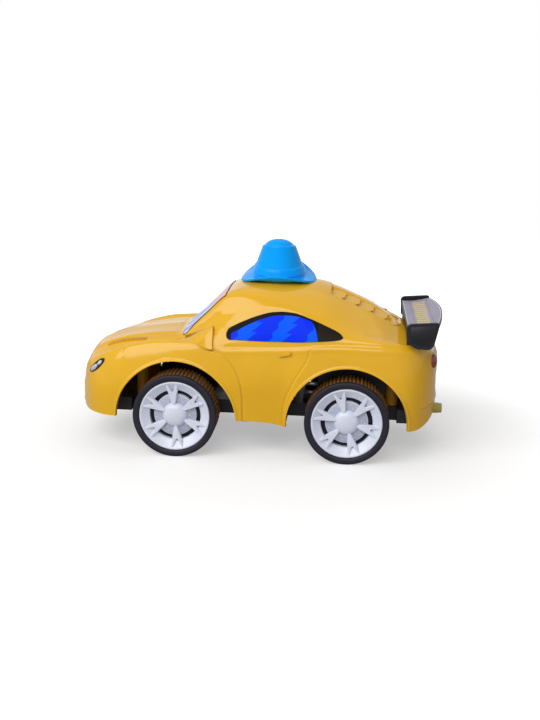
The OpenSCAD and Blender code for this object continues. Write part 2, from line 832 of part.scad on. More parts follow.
module hat() {
    seat_z = roof_z + seat_gap;
    color("deepskyblue")
        difference() {
            union() {
                hat_place() {
                    rotate_extrude($fn = 72)
                        crown_profile(false);
                    brim();
                }
                intersection() {
                    translate([hat_x, 0, seat_z])
                        cylinder(d = hat_post_d, h = crown_h + 2, $fn = 40);
                    union() {
                        hat_place()
                            rotate_extrude($fn = 72)
                                crown_profile(true);
                        translate([hat_x, 0, seat_z])
                            cylinder(d = hat_post_d, h = 4, $fn = 40);
                    }
                }
                translate([hat_x, 0, roof_z - wall - 0.5])
                    cylinder(d = stem_d, h = wall + 2, $fn = 40);
            }
            translate([hat_x, 0, roof_z - wall - 1])
                cylinder(d = hat_screw_d + 2 * seat_gap, h = wall + 9, $fn = 24);
        }
}

module hat_screw() {
    head_d = stem_d + 2.4;
    color("silver")
        translate([hat_x, 0, roof_z - wall - 0.6]) {
            translate([0, 0, -screw_head_h])
                difference() {
                    cylinder(d = head_d, h = screw_head_h, $fn = 32);
                    for (a = [0, 90])
                        rotate(a)
                            translate([-head_d / 3, -0.35, -1])
                                cube([2 * head_d / 3, 0.7, 1.9]);
                }
            translate([0, 0, -0.2])
                cylinder(d = hat_screw_d, h = wall + 7, $fn = 24);
        }
}

blade_top = [[0, 0], [5, 0.1], [9, 0.7], [14, 1.9], [20.5, 3.9]];
function blade_line(lift) = [
    for (d = [0 : 1 : 20]) [plate_x + 0.4 + d, blade_z + curve(d, blade_top) + lift]
];
function backwards(l) = [for (i = [len(l) - 1 : -1 : 0]) l[i]];

module blade_layer(low, high, inset) {
    intersection() {
        slab_y(-plate_y - 0.2 + inset, plate_y + 0.2 - inset)
            polygon(concat(blade_line(low), backwards(blade_line(high))));
        translate([blade_rear - blade_bow_r, 0, blade_z - 10])
            cylinder(r = blade_bow_r - inset / 2, h = 30, $fn = 180);
        translate([plate_x + inset / 2, -spoiler_w, 0])
            cube([40, 2 * spoiler_w, spoiler_z * 2]);
    }
}

module end_plate() {
    drop = 12.4;
    slab_y(-plate_y - plate_t, -plate_y)
        polygon([
            [plate_x, spoiler_z - 1.5],
            [plate_x + 0.4, spoiler_z - 0.4],
            [plate_x + 1.4, spoiler_z],
            [plate_x + 14.4, spoiler_z + 1.1],
            [plate_x + 15.4, spoiler_z + 0.7],
            [plate_x + 15.6, spoiler_z - 0.4],
            [plate_x + 13.6, spoiler_z - drop + 2.6],
            [plate_x + 12.8, spoiler_z - drop + 1],
            [plate_x + 11, spoiler_z - drop],
            [plate_x + 5.4, spoiler_z - drop],
            [plate_x + 3.6, spoiler_z - drop + 1.4],
            [plate_x + 1.6, spoiler_z - drop + 5.8],
            [plate_x + 0.2, spoiler_z - 3.4]
        ]);
}

module strut() {
    foot = [
        for (d = [0.03, 0.07, 0.11, 0.15, 0.19] * tail)
        [plate_x + d, skin_z(plate_x + d, strut_y - strut_t / 2) + 0.45]
    ];
    slab_y(strut_y - strut_t / 2, strut_y + strut_t / 2)
        polygon(concat(
            foot,
            [[plate_x + 7.4, blade_z - blade_t / 2], [plate_x + 1, blade_z - blade_t / 2]]
        ));
    translate([peg_x, strut_y, belt_z - 4])
        cylinder(d = peg_d, h = blade_z - belt_z + 3, $fn = 32);
}

module spoiler() {
    color("black")
        union() {
            blade_layer(-blade_t, 0, 0);
            both_sides() {
                end_plate();
                strut();
            }
        }
}

module spoiler_label() {
    color("slategray")
        blade_layer(0.04, 0.04 + film_t, 2);
}

module case_solid(y0, y1) {
    slab_y(y0, y1)
        case_outline(case_wall);
}

module case_room(y0, y1) {
    slab_y(y0, y1)
        difference() {
            case_outline(0);
            for (c = corners)
                translate(c)
                    circle(r = corner_r, $fn = 32);
        }
}

module case_bores() {
    bar_y(axle_c, axle_r + run_gap, -body_w, body_w);
    bar_y(idler_c, shaft_d / 2 + seat_gap, -case_in - 0.8, case_in + 0.8);
    bar_y(fly_c, shaft_d / 2 + run_gap, -case_in - 0.8, case_in + 0.8);
    for (c = corners)
        bar_y(c, case_screw_r + seat_gap, -body_w, case_in - 1);
    for (p = ears)
        translate([p[0], p[1], floor_top - 1])
            cylinder(d = screw_d + 2 * seat_gap, h = ear_t + 6, $fn = 32);
}

module case_ears(side) {
    for (p = ears)
        if (p[1] * side > 0)
            translate([p[0] - ear_l / 2 - 0.2, p[1] - ear_half, floor_top])
                cube([ear_l + 0.4, 2 * ear_half, ear_t]);
}

module gear_case_left() {
    color("whitesmoke")
        difference() {
            union() {
                case_solid(-case_out, split_y);
                case_ears(-1);
            }
            case_room(-case_in, split_y + 1);
            case_bores();
        }
}

module gear_case_right() {
    color("whitesmoke")
        difference() {
            union() {
                case_solid(split_y, case_out);
                case_ears(1);
            }
            case_room(split_y - 1, case_in);
            case_bores();
        }
}

module case_screws() {
    color("silver")
        for (c = corners)
            union() {
                bar_y(c, case_screw_r, -case_out - 0.2, case_in - 2);
                bar_y(c, case_screw_r * 2, -case_out - 1.3, -case_out);
            }
}

module motor_screws() {
    color("silver")
        for (p = ears)
            translate([p[0], p[1], floor_z])
                screw_up(floor_t + ear_t);
}

module front_axle() {
    color("silver")
        bar_y([fx, wheel_r], axle_r, -axle_half, axle_half);
}

module rear_axle() {
    color("silver")
        bar_y(axle_c, axle_r, -axle_half, axle_half);
}

module wheel_place(x, side) {
    translate([x, side * track_w / 2, wheel_r])
        rotate([-90 * side, 0, 0])
            children();
}

module tyre() {
    body_r = wheel_r - tread_depth;
    seat_r = rim_r + seat_gap;
    hub_r = axle_r + 2.6;
    rib = 360 / tread_ribs;
    difference() {
        union() {
            rotate_extrude($fn = 96)
                polygon([
                    [axle_r + seat_gap, -tyre_w - hub_len],
                    [hub_r, -tyre_w - hub_len],
                    [hub_r, -rim_depth - web_t],
                    [seat_r, -rim_depth - web_t],
                    [seat_r + 1, -tyre_w],
                    [body_r - 1, -tyre_w],
                    [body_r, -tyre_w + 1],
                    [body_r, -3.4],
                    [wheel_r, -3],
                    [wheel_r, -1.6],
                    [wheel_r - 0.5, -0.7],
                    [wheel_r - 1.6, 0],
                    [seat_r + 0.6, -0.3],
                    [seat_r, -0.8],
                    [seat_r, -rim_depth],
                    [axle_r + seat_gap, -rim_depth]
                ]);
            translate([0, 0, -tyre_w + 1])
                linear_extrude(tyre_w - 4.2)
                    difference() {
                        polygon([
                            for (i = [0 : tread_ribs - 1])
                            for (k = [[-0.26, 0], [-0.18, 1], [0.18, 1], [0.26, 0]])
                            let (a = (i + k[0]) * rib, r = body_r + k[1] * tread_depth)
                            r * [cos(a), sin(a)]
                        ]);
                        circle(r = body_r - 0.5, $fn = 96);
                    }
        }
        translate([0, 0, -rim_depth - 0.6])
            cylinder(r = axle_r + seat_gap, h = 5, $fn = 40);
    }
}

module rim(turn) {
    disc_r = hub_disc_d / 2;
    dome_r = dome_d / 2;
    face = -3.2;
    spoke_z = face - 0.6;
    spoke_tip = slot_r + 1.6;
    rotate(turn) {
        rotate_extrude($fn = 96)
            polygon([
                [rim_r, -rim_depth], [rim_r, -0.9], [rim_r - 0.5, -0.5],
                [rim_r - 1.2, -0.7], [slot_r + 1, face + 0.5], [slot_r, face],
                [slot_r, face - 1.2], [slot_r + 1.2, face - 0.9],
                [rim_r - 1.3, -2.2], [rim_r - 1.3, -rim_depth]
            ]);
        rotate_extrude($fn = 72)
            polygon([
                [0, -rim_depth + seat_gap], [dome_r - 1, -rim_depth + seat_gap],
                [dome_r - 1, face - 1.4], [disc_r, face - 1.4], [disc_r, face - 0.3],
                [dome_r, face], [dome_r * 0.86, face + 1.3], [dome_r * 0.5, face + 2.2],
                [0, face + 2.5]
            ]);
        for (i = [0 : 5])
            rotate(60 * i)
                translate([0, 0, spoke_z])
                    linear_extrude(1.7)
                        polygon([
                            [dome_r - 1.5, -1.1], [slot_r - 1.6, -1.7],
                            [spoke_tip, -2.9], [spoke_tip + 0.3, -1.5],
                            [slot_r - 0.6, 0], [spoke_tip + 0.3, 1.5],
                            [spoke_tip, 2.9], [slot_r - 1.6, 1.7], [dome_r - 1.5, 1.1]
                        ]);
    }
}

module tyre_front_left() {
    color("dimgray")
        wheel_place(fx, -1)
            tyre();
}

module tyre_front_right() {
    color("dimgray")
        wheel_place(fx, 1)
            tyre();
}

module tyre_rear_left() {
    color("dimgray")
        wheel_place(rx, -1)
            tyre();
}

module tyre_rear_right() {
    color("dimgray")
        wheel_place(rx, 1)
            tyre();
}

module rim_front_left() {
    color("white")
        wheel_place(fx, -1)
            rim(front_turn);
}

module rim_front_right() {
    color("white")
        wheel_place(fx, 1)
            rim(front_turn);
}

module rim_rear_left() {
    color("white")
        wheel_place(rx, -1)
            rim(rear_turn);
}

module rim_rear_right() {
    color("white")
        wheel_place(rx, 1)
            rim(rear_turn);
}

// Half angle of a tooth at radius r, degrees
function tooth_half(r, pitch_r, teeth) =
    let (
        base = pitch_r * cos(pressure),
        a = acos(min(1, base / r)),
        inv = function (v) tan(v) * 180 / PI - v
    )
    90 / teeth - backlash / (4 * pitch_r) * 180 / PI + inv(pressure) - inv(a);

module gear_plan(teeth, phase) {
    pitch_r = gear_m * teeth / 2;
    radii = [
        pitch_r - tooth_ded, max(pitch_r - tooth_ded, pitch_r * cos(pressure)) + 0.02,
        pitch_r, pitch_r + tooth_add / 2, pitch_r + tooth_add
    ];
    flank = [for (r = radii) [r, tooth_half(r, pitch_r, teeth)]];
    tooth = concat(
        [for (f = flank) [f[0], -f[1]]],
        [for (f = backwards(flank)) f]
    );
    polygon([
        for (i = [0 : teeth - 1])
        for (p = tooth)
        let (a = phase + 360 * i / teeth + p[1])
        p[0] * [cos(a), sin(a)]
    ]);
}

module gear_at(c, y, teeth, phase) {
    translate([c[0], 0, c[1]])
        slab_y(y, y + gear_w)
            gear_plan(teeth, phase);
}

module axle_gear() {
    color("ivory")
        difference() {
            union() {
                gear_at(axle_c, first_y, gear_teeth, idler_dir);
                bar_y(axle_c, axle_r + 2, first_y - 1.4, first_y + gear_w + 1.4);
            }
            bar_y(axle_c, axle_r + seat_gap, -case_in, case_in);
        }
}

module idler_shaft() {
    color("silver")
        bar_y(idler_c, shaft_d / 2, -case_in - 0.6, case_in + 0.6);
}

module idler_gear() {
    color("ivory")
        difference() {
            union() {
                gear_at(idler_c, first_y, pinion_teeth, idler_dir + 180 + 180 / pinion_teeth);
                gear_at(idler_c, second_y, gear_teeth, fly_dir);
                bar_y(idler_c, pinion_r - tooth_ded, first_y, second_y + gear_w);
            }
            bar_y(idler_c, shaft_d / 2 + run_gap, -case_in, case_in);
        }
}

module flywheel_shaft() {
    color("silver")
        bar_y(fly_c, shaft_d / 2, -case_in - 0.6, case_in + 0.6);
}

module flywheel_pinion() {
    color("ivory")
        difference() {
            union() {
                gear_at(fly_c, second_y, pinion_teeth, fly_dir + 180 + 180 / pinion_teeth);
                bar_y(fly_c, pinion_r - tooth_ded, second_y - 1, fly_y);
            }
            bar_y(fly_c, shaft_d / 2 + seat_gap, -case_in, case_in);
        }
}

module flywheel() {
    color("gray")
        difference() {
            union() {
                bar_y(fly_c, flywheel_d / 2, fly_y, fly_y + flywheel_w);
                bar_y(fly_c, shaft_d / 2 + 1.5, fly_y, fly_y + flywheel_w + 1);
            }
            bar_y(fly_c, shaft_d / 2 + seat_gap, -case_in, case_in);
        }
}

body_shell();
chassis();
body_screws();
windscreen_label();
window_label_left();
window_label_right();
headlamp_left();
headlamp_right();
tail_lamp_left();
tail_lamp_right();
hat();
hat_screw();
spoiler();
spoiler_label();
gear_case_left();
gear_case_right();
case_screws();
motor_screws();
front_axle();
rear_axle();
tyre_front_left();
tyre_front_right();
tyre_rear_left();
tyre_rear_right();
rim_front_left();
rim_front_right();
rim_rear_left();
rim_rear_right();
axle_gear();
idler_shaft();
idler_gear();
flywheel_shaft();
flywheel_pinion();
flywheel();
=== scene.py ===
from math import cos, pi, radians, sin, sqrt

import bmesh
import bpy
import numpy as np
from mathutils import Matrix, Vector


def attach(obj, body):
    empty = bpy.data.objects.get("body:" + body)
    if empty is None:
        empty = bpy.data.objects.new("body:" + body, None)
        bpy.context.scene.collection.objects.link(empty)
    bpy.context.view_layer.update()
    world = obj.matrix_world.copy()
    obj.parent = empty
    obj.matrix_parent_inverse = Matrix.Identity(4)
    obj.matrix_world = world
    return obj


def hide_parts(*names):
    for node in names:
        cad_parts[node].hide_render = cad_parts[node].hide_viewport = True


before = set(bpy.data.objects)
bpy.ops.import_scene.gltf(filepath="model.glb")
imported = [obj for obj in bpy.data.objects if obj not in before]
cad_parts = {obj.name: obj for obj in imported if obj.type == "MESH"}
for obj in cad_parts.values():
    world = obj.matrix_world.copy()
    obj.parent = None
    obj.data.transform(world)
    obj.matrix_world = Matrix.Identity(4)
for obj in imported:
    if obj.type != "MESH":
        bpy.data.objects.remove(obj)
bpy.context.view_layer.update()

# Chassis tray: the black floor of the car, one injection moulding with raised
# edges, wells for the wheels and bosses for the screws. Its edges are slightly
# eased by the mould and it has the dull sheen of recycled black plastic.
MM = 0.001


def node(tree, kind, inputs=(), **settings):
    made = tree.nodes.new(kind)
    for key, value in settings.items():
        setattr(made, key, value)
    for key, value in dict(inputs).items():
        if isinstance(value, bpy.types.NodeSocket):
            tree.links.new(value, made.inputs[key])
        else:
            made.inputs[key].default_value = value
    return made


def math(tree, operation, *values):
    return node(tree, "ShaderNodeMath", enumerate(values), operation=operation).outputs[0]


def new_group(name, inputs, outputs):
    tree = bpy.data.node_groups.new(name, "ShaderNodeTree")
    for label, value in inputs:
        tree.interface.new_socket(label, in_out="INPUT", socket_type="NodeSocketFloat").default_value = value
    for label in outputs:
        tree.interface.new_socket(label, in_out="OUTPUT", socket_type="NodeSocketFloat")
    return tree, tree.nodes.new("NodeGroupInput"), tree.nodes.new("NodeGroupOutput")


def flow_and_grain():
    """Cloudy flow of the melt and the fine grain of the mould, both from 0 to 1."""
    tree, given, put = new_group(
        "flow_and_grain", [("Flow Size", 45.0), ("Grain Size", 1800.0)], ["Flow", "Grain", "Smear"])
    place = tree.nodes.new("ShaderNodeTexCoord").outputs["Object"]
    flow = node(tree, "ShaderNodeTexNoise", {
        "Vector": place, "Scale": given.outputs["Flow Size"], "Detail": 3.0, "Roughness": 0.55, "Distortion": 0.6})
    grain = node(tree, "ShaderNodeTexNoise", {
        "Vector": place, "Scale": given.outputs["Grain Size"], "Detail": 2.0, "Roughness": 0.6})
    long_way = node(tree, "ShaderNodeMapping", {"Vector": place, "Scale": (1.0, 1.0, 6.0)})
    smear = node(tree, "ShaderNodeTexNoise", {
        "Vector": long_way.outputs[0], "Scale": 120.0, "Detail": 4.0, "Roughness": 0.7})
    for label, source in (("Flow", flow), ("Grain", grain), ("Smear", smear)):
        tree.links.new(source.outputs[0], put.inputs[label])
    return tree


def edge_wear():
    """Mask of rubbed edges: high where the surface is convex, broken by noise."""
    tree, given, put = new_group("edge_wear", [("Start", 0.53), ("Break", 320.0)], ["Wear"])
    place = tree.nodes.new("ShaderNodeTexCoord").outputs["Object"]
    rubbed = node(tree, "ShaderNodeTexNoise", {
        "Vector": place, "Scale": given.outputs["Break"], "Detail": 4.0, "Roughness": 0.65}).outputs[0]
    point = tree.nodes.new("ShaderNodeNewGeometry").outputs["Pointiness"]
    end = math(tree, "ADD", given.outputs["Start"], 0.09)
    edge = node(tree, "ShaderNodeMapRange", {
        "Value": point, "From Min": given.outputs["Start"], "From Max": end}, interpolation_type="SMOOTHSTEP")
    tree.links.new(math(tree, "MULTIPLY", edge.outputs[0], rubbed), put.inputs["Wear"])
    return tree


FLOW_AND_GRAIN = flow_and_grain()
EDGE_WEAR = edge_wear()


def mixed(tree, factor, first, second):
    return node(tree, "ShaderNodeMix", {0: factor, 6: first, 7: second}, data_type="RGBA").outputs[2]


def spread(tree, value, low, high):
    return node(tree, "ShaderNodeMapRange", {
        "Value": value, "From Min": 0.25, "From Max": 0.75, "To Min": low, "To Max": high}).outputs[0]


def blank_finish(name):
    finish = bpy.data.materials.new(name)
    finish.use_nodes = True
    return finish, finish.node_tree, finish.node_tree.nodes["Principled BSDF"]


def moulded_finish(name, colour, deep, worn, rough, grain=1800.0, relief=0.006, wear=0.5, coat=0.0, metal=0.0,
                   shine=0.5):
    """Moulded plastic or bare metal: flow marks in the colour, grain in gloss and relief, rubbed edges."""
    finish, tree, surface = blank_finish(name)
    marks = node(tree, "ShaderNodeGroup", node_tree=FLOW_AND_GRAIN)
    marks.inputs["Grain Size"].default_value = grain
    rubbed = node(tree, "ShaderNodeGroup", node_tree=EDGE_WEAR)
    body = mixed(tree, spread(tree, marks.outputs["Flow"], 0.0, 1.0), (*colour, 1), (*deep, 1))
    shown = mixed(tree, math(tree, "MULTIPLY", rubbed.outputs["Wear"], wear), body, (*worn, 1))
    gloss = math(tree, "ADD", spread(tree, marks.outputs["Smear"], rough[0], rough[1]),
                 math(tree, "MULTIPLY", rubbed.outputs["Wear"], 0.25))
    bump = node(tree, "ShaderNodeBump", {
        "Strength": 0.35, "Distance": relief * MM * 10, "Height": marks.outputs["Grain"]})
    tree.links.new(shown, surface.inputs["Base Color"])
    tree.links.new(gloss, surface.inputs["Roughness"])
    tree.links.new(bump.outputs[0], surface.inputs["Normal"])
    surface.inputs["Metallic"].default_value = metal
    surface.inputs["Coat Weight"].default_value = coat
    surface.inputs["Specular IOR Level"].default_value = shine
    return finish


def add_piece(name, mesh, finish, sharp=38):
    mesh.name = name
    mesh.materials.clear()
    mesh.materials.append(finish)
    mesh.shade_smooth()
    mesh.set_sharp_from_angle(angle=radians(sharp))
    piece = bpy.data.objects.new(name, mesh)
    bpy.context.scene.collection.objects.link(piece)
    return piece


def as_mesh(form, outward=True):
    """Welds a form in millimetres and gives it as a mesh in metres."""
    bmesh.ops.remove_doubles(form, verts=form.verts, dist=0.002)
    if outward:
        bmesh.ops.recalc_face_normals(form, faces=form.faces)
    bmesh.ops.scale(form, vec=(MM, MM, MM), verts=form.verts)
    mesh = bpy.data.meshes.new("form")
    form.to_mesh(mesh)
    form.free()
    return mesh


def eased_copy(solid, ease):
    """Welded copy of a solid, in millimetres, with its flats joined and its edges eased."""
    form = bmesh.new()
    form.from_mesh(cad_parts[solid].data)
    bmesh.ops.scale(form, vec=(1 / MM,) * 3, verts=form.verts)
    bmesh.ops.remove_doubles(form, verts=form.verts, dist=0.002)
    bmesh.ops.dissolve_limit(form, angle_limit=radians(0.5), verts=form.verts, edges=form.edges)
    edges = [e for e in form.edges if len(e.link_faces) == 2 and e.calc_face_angle() > radians(32)]
    bmesh.ops.bevel(form, geom=edges, offset=ease, segments=2, profile=0.5, affect="EDGES", clamp_overlap=True)
    return form


black_plastic = moulded_finish(
    "black_plastic", (0.014, 0.014, 0.018), (0.009, 0.009, 0.012), (0.05, 0.05, 0.06), (0.28, 0.46), shine=0.25)
tray = add_piece("chassis_tray", as_mesh(eased_copy("chassis", 0.25)), black_plastic)
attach(tray, "car_body")
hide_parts("chassis")

# Friction motor: a gear case in two satin black halves held by small screws,
# white nylon gears on steel shafts and a turned iron flywheel. It is bought in
# as a unit and screwed to the tray round the rear axle.
case_plastic = moulded_finish(
    "case_plastic", (0.02, 0.02, 0.022), (0.012, 0.012, 0.014), (0.1, 0.1, 0.1), (0.38, 0.55))
gear_nylon = moulded_finish(
    "gear_nylon", (0.72, 0.71, 0.66), (0.6, 0.58, 0.5), (0.85, 0.84, 0.8), (0.3, 0.45))
bright_steel = moulded_finish(
    "bright_steel", (0.62, 0.61, 0.59), (0.5, 0.49, 0.47), (0.8, 0.8, 0.8), (0.18, 0.36), grain=3200.0, metal=1.0)
screw_steel = moulded_finish(
    "screw_steel", (0.52, 0.52, 0.53), (0.36, 0.35, 0.35), (0.8, 0.8, 0.8), (0.25, 0.45), grain=2600.0, metal=1.0)
turned_iron = moulded_finish(
    "turned_iron", (0.33, 0.31, 0.3), (0.2, 0.18, 0.17), (0.6, 0.58, 0.56), (0.3, 0.5), grain=2600.0, metal=1.0)


def dressed(finish, *solids):
    """Gives solids whose shape is right as it is a finish of their own."""
    for solid in solids:
        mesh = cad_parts[solid].data
        mesh.materials.clear()
        mesh.materials.append(finish)


dressed(case_plastic, "gear_case_left", "gear_case_right")
dressed(gear_nylon, "axle_gear", "idler_gear", "flywheel_pinion")
dressed(bright_steel, "idler_shaft", "flywheel_shaft")
dressed(screw_steel, "case_screws", "motor_screws")
dressed(turned_iron, "flywheel")

# Axles: two lengths of bright drawn steel wire, pressed into the wheel hubs and
# running in the tray and in the gear case.
dressed(bright_steel, "front_axle", "rear_axle")

# Tyres: hard black plastic rings with a smooth outer shoulder, a tread of straight
# ribs across the wheel and a web with a hub, moulded in one and pressed on the axle. The
# ribs are painted brown, a painted reflection of the shell's yellow light on the black.
WHEEL_R = 21.1
TREAD_RIBS = 66
FRONT_X, REAR_X = -40.5, 45.5
OUTER_FACE = 41.0
WHEELS = [(end, side, (FRONT_X if end == "front" else REAR_X), (-1 if side == "left" else 1))
          for end in ("front", "rear") for side in ("left", "right")]


def turned(form, outline, steps, closed=True):
    """Turns an outline of (radius, height) round Z into the form."""
    rings = []
    for i in range(steps):
        a = 2 * pi * i / steps
        rings.append([form.verts.new((r * cos(a), r * sin(a), z)) for r, z in outline])
    count = len(outline)
    for i in range(steps):
        one, two = rings[i], rings[(i + 1) % steps]
        for j in range(count if closed else count - 1):
            k = (j + 1) % count
            corners = [one[j], two[j], two[k], one[k]]
            if outline[j][0] == 0:
                corners = [one[j], two[k], one[k]]
            elif outline[k][0] == 0:
                corners = [one[j], two[j], one[k]]
            if outline[j][0] or outline[k][0]:
                form.faces.new(corners)


def prism(form, low, high):
    """Joins two outlines of 3-D points, point for point, into a closed solid."""
    a = [form.verts.new(p) for p in low]
    b = [form.verts.new(p) for p in high]
    n = len(a)
    form.faces.new(a[::-1])
    form.faces.new(b)
    for i in range(n):
        form.faces.new((a[i], a[(i + 1) % n], b[(i + 1) % n], b[i]))


def pieces_tree(name, *more):
    """Node tree for copies of a piece, with inputs for the piece, its count and its finish."""
    tree = bpy.data.node_groups.new(name, "GeometryNodeTree")
    for label, kind in (("Geometry", "Geometry"), ("Piece", "Object"), ("Count", "Int"), *more, ("Finish", "Material")):
        tree.interface.new_socket(label, in_out="INPUT", socket_type="NodeSocket" + kind)
    tree.interface.new_socket("Geometry", in_out="OUTPUT", socket_type="NodeSocketGeometry")
    return tree, tree.nodes.new("NodeGroupInput")


def set_on_points(tree, given, points, rotation):
    """Sets a copy of the piece on each point, makes the copies real and gives them the finish."""
    shape = node(tree, "GeometryNodeObjectInfo", {"Object": given.outputs["Piece"]})
    copies = node(tree, "GeometryNodeInstanceOnPoints", {
        "Points": points, "Instance": shape.outputs["Geometry"], "Rotation": rotation})
    real = node(tree, "GeometryNodeRealizeInstances", {"Geometry": copies.outputs[0]})
    coloured = node(tree, "GeometryNodeSetMaterial", {
        "Geometry": real.outputs[0], "Material": given.outputs["Finish"]})
    tree.links.new(coloured.outputs[0], tree.nodes.new("NodeGroupOutput").inputs[0])
    return tree


def ring_of_pieces():
    """Sets copies of a piece round Z, each turned to face outwards."""
    tree, given = pieces_tree("ring_of_pieces", ("Turn", "Float"))
    points = node(tree, "GeometryNodePoints", {"Count": given.outputs["Count"]})
    step = math(tree, "DIVIDE", 2 * pi, given.outputs["Count"])
    angle = math(tree, "MULTIPLY_ADD", node(tree, "GeometryNodeInputIndex").outputs[0], step, given.outputs["Turn"])
    facing = node(tree, "ShaderNodeCombineXYZ", {"Z": angle})
    return set_on_points(tree, given, points.outputs[0], facing.outputs[0])


def plain_mesh(piece):
    """The mesh of a piece with its modifiers applied."""
    bpy.context.view_layer.update()
    view = bpy.context.evaluated_depsgraph_get()
    return bpy.data.meshes.new_from_object(piece.evaluated_get(view))


def grown(tree, base, values):
    """Runs a node tree on a base mesh and gives the result as a plain mesh."""
    carrier = bpy.data.objects.new("carrier", base)
    bpy.context.scene.collection.objects.link(carrier)
    growth = carrier.modifiers.new("growth", "NODES")
    growth.node_group = tree
    for item in tree.interface.items_tree:
        if item.in_out == "INPUT" and item.name in values:
            growth[item.identifier] = values[item.name]
    mesh = plain_mesh(carrier)
    bpy.data.objects.remove(carrier)
    return mesh


def ring_of(form, count, turn, finish):
    """Makes a ring of one form, which is in millimetres, as a mesh in metres."""
    piece = bpy.data.objects.new("one_of_ring", as_mesh(form))
    bpy.context.scene.collection.objects.link(piece)
    mesh = grown(RING_OF_PIECES, bpy.data.meshes.new("empty"), {
        "Piece": piece, "Count": count, "Turn": turn, "Finish": finish})
    bpy.data.objects.remove(piece)
    return mesh


def gathered(*meshes):
    form = bmesh.new()
    for mesh in meshes:
        form.from_mesh(mesh)
    whole = bpy.data.meshes.new("gathered")
    form.to_mesh(whole)
    form.free()
    return whole


def on_wheel(mesh, x, way):
    """Copy of a wheel's mesh, whose outer face looks along Z, set on its axle."""
    placed = mesh.copy()
    placed.transform(Matrix.Translation(Vector((x, way * OUTER_FACE, WHEEL_R)) * MM)
                     @ Matrix.Rotation(radians(-90 * way), 4, "X"))
    return placed


RING_OF_PIECES = ring_of_pieces()
tyre_plastic = moulded_finish(
    "tyre_plastic", (0.02, 0.0175, 0.028), (0.015, 0.013, 0.021), (0.06, 0.055, 0.07), (0.36, 0.55), relief=0.01,
    shine=0.2)
# The tread's brown is painted reflected light, the yellow glow of the shell on black ribs.
tread_plastic = moulded_finish(
    "tread_plastic", (0.33, 0.15, 0.03), (0.25, 0.11, 0.022), (0.42, 0.2, 0.05), (0.4, 0.6), relief=0.01, shine=0.2)
TREAD_Z, TREAD_END, TREAD_R = -3.05, -16.2, 19.95
tyre_form = bmesh.new()
turned(tyre_form, [
    (1.5, -6), (17.84, -6), (17.84, -0.9), (18, -0.5), (18.3, -0.28), (19.1, -0.06), (19.9, 0), (20.6, -0.04),
    (20.9, -0.18), (21.05, -0.42), (21.1, -0.8), (21.1, -2.6), (20.95, -2.95), (20.3, -3.1), (20.2, -3.4),
    (20.2, -15.9), (20, -16.6), (19.4, -17), (18.7, -17), (18.4, -16.6), (18.2, -8.3), (17.6, -8), (4.6, -8),
    (4.1, -8.5), (4.1, -16.6), (3.8, -16.8), (1.5, -16.8)], 144)
rib_form = bmesh.new()
RIB_HALF, RIB_CROWN = 0.6, 0.32
RIB_FOOT, RIB_SHOULDER, RIB_TOP = 20.0, 20.8, 21.08
for low, low_half, high, high_half in ((RIB_FOOT, RIB_HALF, RIB_SHOULDER, RIB_HALF * 0.9),
                                       (RIB_SHOULDER - 0.05, RIB_HALF * 0.9, RIB_TOP, RIB_CROWN)):
    prism(rib_form, *[[(r, -half, z) for z in (TREAD_Z, TREAD_END)] + [(r, half, z) for z in (TREAD_END, TREAD_Z)]
                      for r, half in ((low, low_half), (high, high_half))])
tyre_mesh = gathered(as_mesh(tyre_form), ring_of(rib_form, TREAD_RIBS, 0.0, tread_plastic))
for end, side, x, way in WHEELS:
    tyre = add_piece(f"ribbed_tyre_{end}_{side}", on_wheel(tyre_mesh, x, way), tyre_plastic)
    tyre.data.materials.append(tread_plastic)
    for face in tyre.data.polygons:
        across = sqrt((face.center.x - x * MM) ** 2 + (face.center.z - WHEEL_R * MM) ** 2)
        if across > TREAD_R * MM and abs(face.center.y) - OUTER_FACE * MM < TREAD_Z * MM:
            face.material_index = 1
    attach(tyre, end + "_wheel_set")
    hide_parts(f"tyre_{end}_{side}")

# Rims: white clip-in hub caps. A dished ring and a hub disc with a dome are joined
# by six forked spokes, the disc is greyer and dotted with small pips, and the black
# web of the tyre shows through the slots between the spokes.
SPOKES = 6
RIM_TURNS = {"front": 35, "rear": 45}
white_plastic = moulded_finish(
    "white_plastic", (0.68, 0.71, 0.82), (0.6, 0.63, 0.74), (0.8, 0.82, 0.9), (0.22, 0.4))
grey_disc = moulded_finish(
    "grey_disc", (0.42, 0.455, 0.56), (0.37, 0.4, 0.5), (0.6, 0.62, 0.7), (0.3, 0.5))
ring_form = bmesh.new()
turned(ring_form, [
    (17.78, -5.9), (17.78, -1.1), (17.62, -0.65), (17.3, -0.5), (16.9, -0.55), (16.45, -0.85), (15.3, -1.75),
    (13.9, -2.65), (13.3, -3), (12.95, -3.3), (12.9, -4.4), (13, -5.9)], 120)
turned(ring_form, [
    (0, -0.7), (1.5, -0.75), (3.1, -0.95), (4.4, -1.35), (5.4, -1.95), (5.95, -2.55), (6.15, -3.1), (6.35, -3.4),
    (10.4, -3.5), (10.65, -3.65), (10.7, -3.9), (10.7, -5.9), (0, -5.9)], 120, closed=False)
SPOKE_OUTLINE = [(5.4, 0.6), (6.6, 1.15), (8, 1.55), (9.6, 1.9), (11.6, 2.3), (13, 2.6), (14.6, 2.95), (15.9, 3.1),
                 (16.2, 2.75), (15.9, 2.0), (15.1, 1.5), (14.2, 1.05), (13.2, 0.6), (12.3, 0.12)]
SPOKE_RIDGE = ((5, 9, 11.5, 16), (0.05, 0.6, 1.3, 2.4))
SPOKE_RISE = 0.4
DISC_FROM, DISC_TO, DISC_DEPTH, DISC_LEAST_FACE = 0.006, 0.0108, 0.0033, 2e-7


def spoke_layer(draw, z, rise):
    """Outline of a spoke at height z, drawn in towards the ridges of its two prongs."""
    half = [(r + draw * (11.5 - r) * 0.05, w + draw * (np.interp(r, *SPOKE_RIDGE) - w), z + rise * max(r - 13.5, 0))
            for r, w in SPOKE_OUTLINE]
    return half + [(r, -w, z) for r, w, z in reversed(half)]


